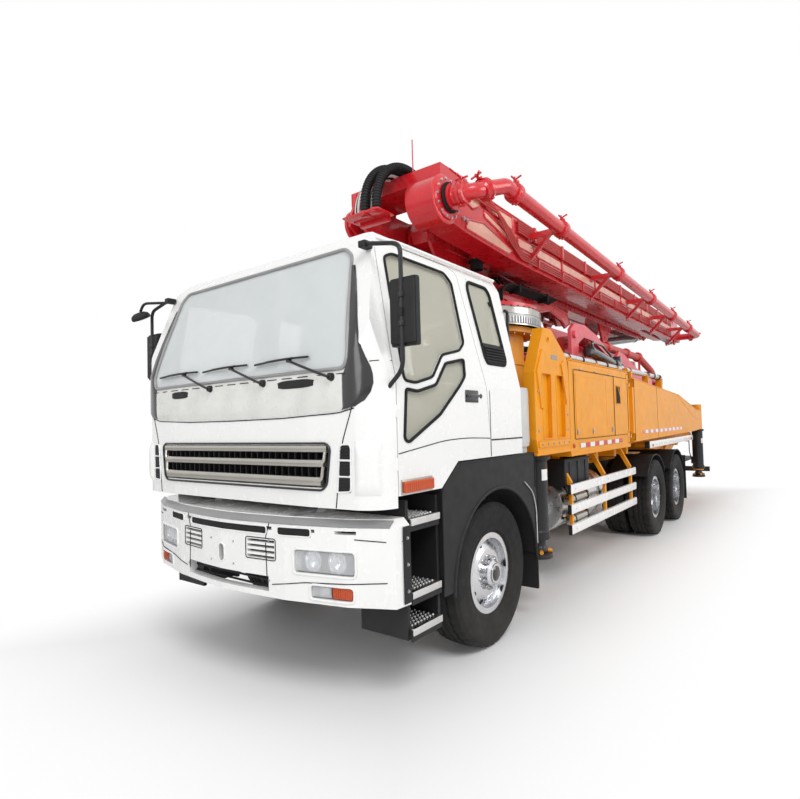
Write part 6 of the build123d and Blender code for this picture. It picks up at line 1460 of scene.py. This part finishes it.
for y, r in ((0.05, 0.40), (0.17, 0.385)):
    line = smooth_line([Vector(p) for p in head_arc(y, r, -0.3, 2.05, 0.06)]
        + [Vector((-0.78, y + 0.08, 3.925)), Vector((-1.1, y + 0.1, 3.885))], 0.05, 3)
    ribbed.path([tuple(p) for p in line], 0.036, 14, 0.01, 1)
    walked = resampled([tuple(p) for p in line], 64)
    for a, b in zip(walked, walked[1:]):
        mid = [(p + q) / 2 for p, q in zip(a, b)]
        ribbed.ring(mid, [q - p for p, q in zip(a, b)], 0.0375, 0.0055, 16, 6)
for k in range(9):
    group = thin if k % 2 == 0 else black_thin
    y = -0.13 + 0.026 * k
    group.path(head_arc(y, 0.315 + 0.012 * (k % 3), -0.3, 1.9, 0.05)
        + [(-0.75, y + 0.05, 3.90), (-1.2, y + 0.05, 3.87)], 0.0115, 8, 0.05, 3)
bracket = Group("hose_bracket", red, "arm_3")
bracket.box((-0.1, -0.17, 3.47), (0.125, 0.24, 3.486), 0.004)
bracket.box((-0.1, -0.12, 3.43), (-0.05, 0.2, 3.486), 0.006)
for k in range(9):
    bracket.box((-0.03, -0.143 + 0.026 * k, 3.46), (0.01, -0.117 + 0.026 * k, 3.5), 0.003)
for y in (0.05, 0.17):
    bracket.lathe([(0.036, -0.02), (0.052, -0.016), (0.052, 0.016), (0.036, 0.02)], (0.07, y, 3.478),
        (0, 0, 1), 24)
ribbed.box((-0.86, -0.2, 3.875), (-0.82, 0.32, 3.905), 0.005)
for k in range(7):
    black_thin.path([(-0.8, 0.35 - 0.02 * k, 3.90), (-1.05, 0.3, 3.88 - 0.01 * k),
        (-1.35, 0.335 - 0.001 * k, 3.80 - 0.018 * k), (-1.9, 0.335, 3.79 - 0.02 * k)], 0.011, 8, 0.1, 4)

# Outer face of arm 2, arms 1 and 4, pin ends
beam = Group("arm_2_frames", red, "arm_2")
# Side panels of arm 2 in the salmon colour that holds painted highlight.
panel = Group("arm_2_panels", pink_and_painted_highlight, "arm_2")
pipes = Group("arm_2_tubes", tube_red, "arm_2")
clips = Group("arm_2_clamps", red, "arm_2")
for k in range(7):
    x0, x1 = -0.98 - 1.12 * k, -2.05 - 1.12 * k
    outline = frame_of(x0, x1, 3.50, 3.64)
    panel.plate(outline, ARM_2_FACE - 0.0025, ARM_2_FACE + 0.0005, "Y", 0.001)
    frame_line(beam, outline, ARM_2_FACE - 0.001, 0.008)
    beam.box((x1 - 0.035, -0.432, 3.40), (x1 - 0.015, -0.418, 3.75), 0.003)
beam.path([(-0.7, -0.42, 3.778), (-8.2, -0.42, 3.778)], 0.008, 8)
beam.path([(-0.7, -0.42, 3.372), (-8.2, -0.42, 3.372)], 0.008, 8)
tubes_with_clamps(pipes, clips, -0.95, -8.4, -0.441, -1,
    [(3.755 - 0.025 * k, 3.755 - 0.025 * k) for k in range(4)], 0.9)
tubes_with_clamps(pipes, clips, -0.95, -8.2, -0.441, -1,
    [(3.40 + 0.025 * k, 3.40 + 0.025 * k) for k in range(3)], 0.8)
for x in (-2.6, -4.3, -6.0, -7.7):
    coupling(clips, (x, -0.578, 3.575), (1, 0, 0), PIPE)
for x in (-1.3, -8.8):
    coupling(clips, (x + 0.02, -0.578, 3.575), (1, 0, 0), PIPE)
pin_cap(beam, REAR_PIN_X, -0.42, 3.58, -1)
beam = Group("arm_1_frames", red, "arm_1")
for y in (-0.15, 0.13):
    beam.path([(-1.75, y, 3.773), (-3.25, y, 3.833), (-8.5, y, 3.833)], 0.008, 8, 0.2, 4)
    beam.path([(-1.1, y, 3.436), (-2.25, y, 3.412), (-3.45, y, 3.322), (-8.5, y, 3.322)], 0.008, 8, 0.2, 4)
for k in range(6):
    beam.box((-3.4 - 0.95 * k, 0.126, 3.35), (-3.42 - 0.95 * k, 0.14, 3.81), 0.003)
    beam.box((-3.4 - 0.95 * k, -0.16, 3.35), (-3.42 - 0.95 * k, -0.146, 3.81), 0.003)
for x in (-3.1, -4.6, -6.1, -7.6):
    coupling(beam, (x, -0.01, 3.949), (1, 0, 0), PIPE)
pin_cap(beam, REAR_PIN_X, 0.13, 3.58, 1)
slack = Group("arm_1_hoses", rubber, "arm_1")
for k in range(5):
    y = -0.1 + 0.045 * k
    slack.path([(-2.3, y, 3.40), (-2.5, y, 3.31), (-3.0, y + 0.01, 3.27), (-3.5, y, 3.29), (-3.7, y, 3.34)],
        0.013, 8, 0.15, 5)
beam = Group("arm_4_frames", red, "arm_4")
for x in (-2.5, -4.05, -5.5, -7.0, -8.3):
    coupling(beam, (x, 0.24, 3.784), (1, 0, 0), 0.062)
for y in (0.16, 0.32):
    beam.path([(-1.62, y, 3.528), (-8.9, y, 3.678)], 0.007, 8)
tip_hose = Group("arm_4_end_hose", rubber, "arm_4")
tip_hose.lathe([(0.055, 0.0), (0.082, 0.002), (0.084, 0.035), (0.07, 0.042), (0.066, 0.1), (0.07, 0.104),
    (0.07, 0.112), (0.052, 0.112), (0.052, 0.02)], (-1.51, 0.24, 3.40), (0, 0, -1), 40)
caps = Group("turret_pins", red, "turret")
pin_cap(caps, -0.95, 0.128, 3.58, 1)
pin_cap(caps, -0.95, -0.148, 3.58, -1)
pin_cap(caps, -1.30, 0.128, 3.012, 1, 0.034)
pin_cap(caps, -1.30, -0.148, 3.012, -1, 0.034)
WING = [(-1.72, 2.93), (-1.72, 3.04), (-2.06, 3.222), (-3.05, 3.265), (-4.08, 3.183), (-4.175, 3.06),
    (-4.0, 2.995), (-3.85, 3.085), (-3.45, 3.155), (-3.09, 3.083), (-2.88, 2.952), (-2.55, 2.93)]
for y in (0.25, -0.27):
    caps.path([(x, y, z) for x, z in WING], 0.009, 8, 0.04, 3, True)
    caps.ring((-2.83, y, 3.08), (0, 1, 0), 0.052, 0.009, 32, 8)
for a in turns(20):
    caps.bolt((TOWER_X + 0.63 * cos(a), 0.63 * sin(a), 2.915), (0, 0, 1), 0.014, 0.016)
turret_lines = Group("turret_hoses", rubber, "turret")
for k in range(6):
    y = 0.30 + 0.022 * k
    turret_lines.path([(-1.75, y, 2.93), (-1.75, y, 3.06 + 0.01 * k), (-1.95, y, 3.16 + 0.01 * k),
        (-2.7, y, 3.18 + 0.01 * k), (-3.3, y, 3.2 + 0.008 * k)], 0.012, 8, 0.12, 5)
turret_lines.box((-2.2, 0.29, 3.14), (-2.16, 0.43, 3.24), 0.006)
turret_lines.box((-3.0, 0.29, 3.16), (-2.96, 0.43, 3.26), 0.006)

# Ports of the cylinders and the pipe between them along each barrel
CYLINDERS = (
    ("cylinder_1", (-1.30, -0.01, 3.012), (-4.15, -0.01, 3.13), 0.082, 0.62),
    ("cylinder_2", (-6.2, -0.01, 3.02), (-9.04, -0.01, 3.43), 0.078, 0.78),
    ("cylinder_3", (-2.82, -0.30, 3.58), (-0.58, -0.30, 3.43), 0.07, 0.72),
    ("cylinder_4", (-7.545, 0.485, 3.50), (-9.685, 0.485, 3.35), 0.07, 0.72),
)
for name, start, end, r, share in CYLINDERS:
    a, b = Vector(start), Vector(end)
    t = (b - a).normalized()
    fit = Group(f"{name}_fittings", steel, f"{name}_barrel")
    up = (Vector((0, 0, 1)) - t * t.z).normalized()
    first, last = a + t * 0.2, a + (b - a) * (share - 0.12)
    for p in (first, last):
        fit.rod(p + up * (r - 0.01), p + up * (r + 0.014), 0.017, 12, bevel=0.003)
    fit.path([first + up * (r + 0.01), first + up * (r + 0.02) + t * 0.05, last + up * (r + 0.02) - t * 0.05,
        last + up * (r + 0.01)], 0.0075, 8, 0.02, 3)

# Inside the cab: floor mat, tunnel, dash, steering wheel, seats, belts and visors
SEAT_Y = 0.675
floor_mat = Group("cab_floor_mat", plastic, "cab", ["cab_interior"])
floor_mat.sheet([[(x, y, z) for y in (-1.06 + 0.212 * k for k in range(11))]
    for x, z in ((1.2, 1.30), (0.76, 1.30), (0.56, 1.452), (-0.33, 1.452))], (0, 0, 0.006))
for k in range(12):
    floor_mat.box((0.8, -1.0 + 0.18 * k, 1.305), (1.15, -0.98 + 0.18 * k, 1.311), 0.002)
for x, y, z in ((1.07, 0.79, 1.46), (1.07, 0.66, 1.47), (1.09, 0.53, 1.46)):
    floor_mat.box((x, y - 0.035, z - 0.06), (x + 0.016, y + 0.035, z + 0.06), 0.006)
    floor_mat.rod((x + 0.01, y, z), (x + 0.09, y, z + 0.1), 0.009, 10)
tunnel = Group("cab_tunnel", cab_trim, "cab")
tunnel.plate([(-0.30, 1.455), (-0.33, 1.60), (-0.29, 1.64), (0.29, 1.64), (0.33, 1.60), (0.30, 1.455)], -0.2,
    0.6, "X", 0.01)
tunnel.box((-0.12, -0.2, 1.635), (0.2, 0.2, 1.70), 0.02)
tunnel.rod((0.42, 0.2, 1.63), (0.36, 0.2, 1.86), 0.012, 14)
tunnel.lathe([(0.0, 0.05), (0.02, 0.045), (0.028, 0.02), (0.022, -0.01), (0.012, -0.02)], (0.355, 0.2, 1.87),
    (-0.2, 0, 1), 24)
tunnel.lathe([(0.06, 0.0), (0.05, 0.03), (0.03, 0.05), (0.014, 0.07)], (0.42, 0.2, 1.635), (0, 0, 1), 24)
DASH = [(1.18, 1.30), (1.30, 1.50), (1.335, 1.88), (1.29, 1.925), (1.16, 1.935), (1.03, 1.88), (0.985, 1.84),
    (0.99, 1.66), (1.07, 1.42)]
dash = Group("cab_dash", dash_grey, "cab")
dash.sheet([[(min(x, front_x(y, z) - 0.055), y, z) for x, z in divided(DASH, 0.05)]
    for y in (-1.05 + 0.105 * k for k in range(21))], (0, 0.0, 0.001))
dash.box((0.93, 0.42, 1.80), (1.16, 0.93, 1.965), 0.03)
dash.box((0.955, -0.32, 1.58), (1.05, 0.3, 1.86), 0.02)
dials = Group("cab_dials", black_gloss, "cab")
marks = Group("cab_dial_marks", label_white, "cab")
for y, z, r in ((0.58, 1.885, 0.055), (0.71, 1.885, 0.055), (0.82, 1.885, 0.035), (0.49, 1.885, 0.03)):
    dials.lathe([(0.0, 0.004), (r - 0.006, 0.004), (r - 0.004, 0.012), (r, 0.012), (r + 0.003, 0.0)],
        (0.929, y, z), (-1, 0, 0), 36)
    for k in range(13):
        a = radians(-45 + 22.5 * k)
        marks.rod((0.9245, y + r * 0.66 * cos(a), z + r * 0.66 * sin(a)),
            (0.9245, y + r * 0.82 * cos(a), z + r * 0.82 * sin(a)), 0.0012, 5)
    marks.rod((0.923, y, z), (0.923, y - r * 0.5, z + r * 0.4), 0.0016, 6)
for k in range(5):
    for j in range(2):
        dials.box((0.949, -0.25 + 0.085 * k, 1.61 + 0.05 * j), (0.957, -0.19 + 0.085 * k, 1.645 + 0.05 * j),
            0.003)
dials.box((0.949, -0.2, 1.74), (0.957, 0.14, 1.83), 0.004)
for _ in both_sides():
    for k in range(5):
        dials.box((0.985, 0.97, 1.79 + 0.016 * k), (0.992, 1.04, 1.799 + 0.016 * k), 0.002)
steering = Group("steering_wheel", satin_black, "cab")
hub, axis = Vector((0.83, SEAT_Y, 2.0)), Vector((-0.55, 0, 0.835)).normalized()
side_way = Vector((0, 1, 0))
far_way = axis.cross(side_way)
steering.ring(hub, axis, 0.225, 0.017, 64, 14)
steering.lathe([(0.0, 0.014), (0.04, 0.012), (0.07, 0.0), (0.06, -0.03), (0.03, -0.06), (0.028, -0.26)], hub,
    axis, 32)
for way in (side_way, -side_way, far_way * -1, far_way):
    steering.path([hub + way * 0.05 - axis * 0.02, hub + way * 0.13 - axis * 0.012, hub + way * 0.222],
        0.013, 10, 0.04, 4)
steering.path([hub - axis * 0.1, hub - axis * 0.1 + side_way * 0.16 + axis * 0.02,
    hub - axis * 0.08 + side_way * 0.2], 0.009, 8, 0.03, 3)


def bend(value, power):
    return math.copysign(abs(value) ** power, value)


def cushion(name, centre, size, tilt, channels):
    """Closed crowned cushion with sewn channels along its upper face; sides pull in between the corners."""
    form = bmesh.new()
    n, m = 40, 56
    turn = Matrix.Rotation(tilt, 3, "Y")
    rows = []
    for i in range(n + 1):
        v = -pi / 2 + pi * i / n
        row = []
        for j in range(m):
            u = 2 * pi * j / m
            x = size[0] / 2 * bend(cos(v), 0.35) * bend(cos(u), 0.35)
            y = size[1] / 2 * bend(cos(v), 0.35) * bend(sin(u), 0.35)
            z = size[2] / 2 * bend(sin(v), 0.55)
            inward = 1 - 0.035 * (1 - (2 * y / size[1]) ** 2) * abs(2 * x / size[0]) ** 4
            x, y = x * inward, y * (1 - 0.03 * (1 - (2 * x / size[0]) ** 2) * abs(2 * y / size[1]) ** 4)
            if z > 0:
                z *= 1 + 0.14 * (1 - (2 * x / size[0]) ** 2) * (1 - (2 * y / size[1]) ** 2)
                seam = ((x / size[0] + 0.5) * channels) % 1 - 0.5
                z -= 0.008 * math.exp(-(seam / 0.07) ** 2) * (abs(2 * y / size[1]) < 0.8)
                z -= 0.006 * math.exp(-((abs(2 * y / size[1]) - 0.72) / 0.03) ** 2)
            row.append(form.verts.new(Vector(centre) + turn @ Vector((x, y, z)) + Vector((SHIFT, 0, 0))))
        rows.append(row)
    quads(form, rows, False)
    bmesh.ops.remove_doubles(form, verts=form.verts[:], dist=1e-5)
    bmesh.ops.dissolve_degenerate(form, dist=1e-6, edges=form.edges[:])
    piece = as_object(name, form, trim_cloth, None)
    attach(piece, "cab")


for side, tag in ((1, "l"), (-1, "r")):
    y = side * SEAT_Y
    cushion(f"seat_cushion_{tag}", (0.14, y, 1.655), (0.56, 0.50, 0.15), radians(-3), 5)
    cushion(f"seat_back_{tag}", (-0.085, y, 2.0), (0.60, 0.46, 0.13), radians(-76), 5)
    cushion(f"headrest_{tag}", (-0.19, y, 2.38), (0.17, 0.26, 0.09), radians(-78), 1)
    base = Group(f"seat_base_{tag}", plastic, "cab")
    base.box((-0.06, y - 0.22, 1.452), (0.38, y + 0.22, 1.585), 0.02)
    base.box((-0.1, y - 0.23, 1.55), (0.4, y + 0.23, 1.60), 0.015)
    for dy in (-0.05, 0.05):
        base.rod((-0.16, y + dy, 2.26), (-0.19, y + dy, 2.36), 0.006, 10)
    base.lathe([(0.0, 0.02), (0.035, 0.018), (0.04, 0.0)], (-0.06, y + side * 0.235, 1.63), (0, side, 0), 24)
    base.path([(0.3, y - 0.2, 1.6), (0.42, y - 0.2, 1.58), (0.42, y + 0.2, 1.58), (0.3, y + 0.2, 1.6)],
        0.008, 8, 0.03, 4)
    belt = Group(f"seat_belt_{tag}", rubber, "cab")
    belt.sheet([[(-0.22, side * 1.08, 2.55), (-0.2, side * 1.075, 2.2), (-0.18, side * 1.07, 1.8),
        (-0.12, side * 1.03, 1.55)], [(-0.175, side * 1.08, 2.55), (-0.155, side * 1.075, 2.2),
        (-0.135, side * 1.07, 1.8), (-0.075, side * 1.03, 1.55)]], (0, -side * 0.003, 0))
    belt.box((-0.225, side * 1.06, 2.54), (-0.17, side * 1.1, 2.59), 0.008)
visors = Group("sun_visors", cab_trim, "cab")
for y0, y1 in ((0.12, 0.8), (-0.8, -0.12)):
    visors.box((1.01, y0, 2.6), (1.025, y1, 2.73), 0.006)
    visors.rod((1.03, y0, 2.73), (1.03, y1, 2.73), 0.007, 10)

# Glass of the cab
panes = Group("windscreen", screen_glass, "cab", ["cab_glass"])
rows = []
for k in range(13):
    z = 1.975 + (2.728 - 1.975) * k / 12
    half = along([(1.975, 1.008), (2.04, 1.036), (2.67, 0.928), (2.728, 0.865)], z)
    rows.append([(front_x(y, z) - 0.002, y, z) for y in (half * (j / 12 - 1) for j in range(25))])
panes.sheet(rows, (-0.006, 0, 0))
panes = Group("rear_panes", glass, "cab")
panes.sheet([[(-0.392, y, z) for y in (-0.56, 0, 0.56)] for z in (2.05, 2.3, 2.56)], (0.006, 0, 0))
for _ in both_sides():
    panes.sheet([[(x, side_y(z) - 0.003, z) for x in (lo, (lo + hi) / 2, hi)]
        for z, lo, hi in ((2.08, -0.22, 0.07), (2.13, -0.24, 0.086), (2.35, -0.226, 0.107),
        (2.64, -0.21, 0.13), (2.70, -0.175, 0.105))], (0, -0.006, 0))

for group in Group.made:
    group.done()


# Floor: shaded near the truck, plain white far away
def floor_finish():
    mat = bpy.data.materials.new("floor_pale")
    mat.use_nodes = True
    tree = mat.node_tree
    nodes, links = tree.nodes, tree.links
    shader = nodes["Principled BSDF"]
    shader.inputs["Base Color"].default_value = (0.94, 0.94, 0.94, 1)
    shader.inputs["Roughness"].default_value = 0.55
    coords = nodes.new("ShaderNodeTexCoord")
    split = nodes.new("ShaderNodeSeparateXYZ")
    links.new(coords.outputs["Object"], split.inputs["Vector"])
    fades = []
    for axis, near, far in (("X", 5.2, 7.2), ("Y", 0.9, 2.6)):
        distance = math_node(tree, "ABSOLUTE", split.outputs[axis])
        fades.append(map_range(tree, distance, 0, 1, near, far, "SMOOTHSTEP"))
    rays = nodes.new("ShaderNodeLightPath")
    seen = math_node(tree, "MULTIPLY", math_node(tree, "MAXIMUM", *fades), rays.outputs["Is Camera Ray"])
    plain = nodes.new("ShaderNodeEmission")
    plain.inputs["Color"].default_value = (1, 1, 1, 1)
    mix = nodes.new("ShaderNodeMixShader")
    links.new(seen, mix.inputs["Fac"])
    links.new(shader.outputs["BSDF"], mix.inputs[1])
    links.new(plain.outputs["Emission"], mix.inputs[2])
    links.new(mix.outputs["Shader"], nodes["Material Output"].inputs["Surface"])
    return mat


ground_mesh = bpy.data.meshes.new("floor")
form = bmesh.new()
bmesh.ops.create_grid(form, x_segments=4, y_segments=4, size=60)
form.to_mesh(ground_mesh)
form.free()
ground = bpy.data.objects.new("floor", ground_mesh)
bpy.context.scene.collection.objects.link(ground)
ground_mesh.materials.append(floor_finish())
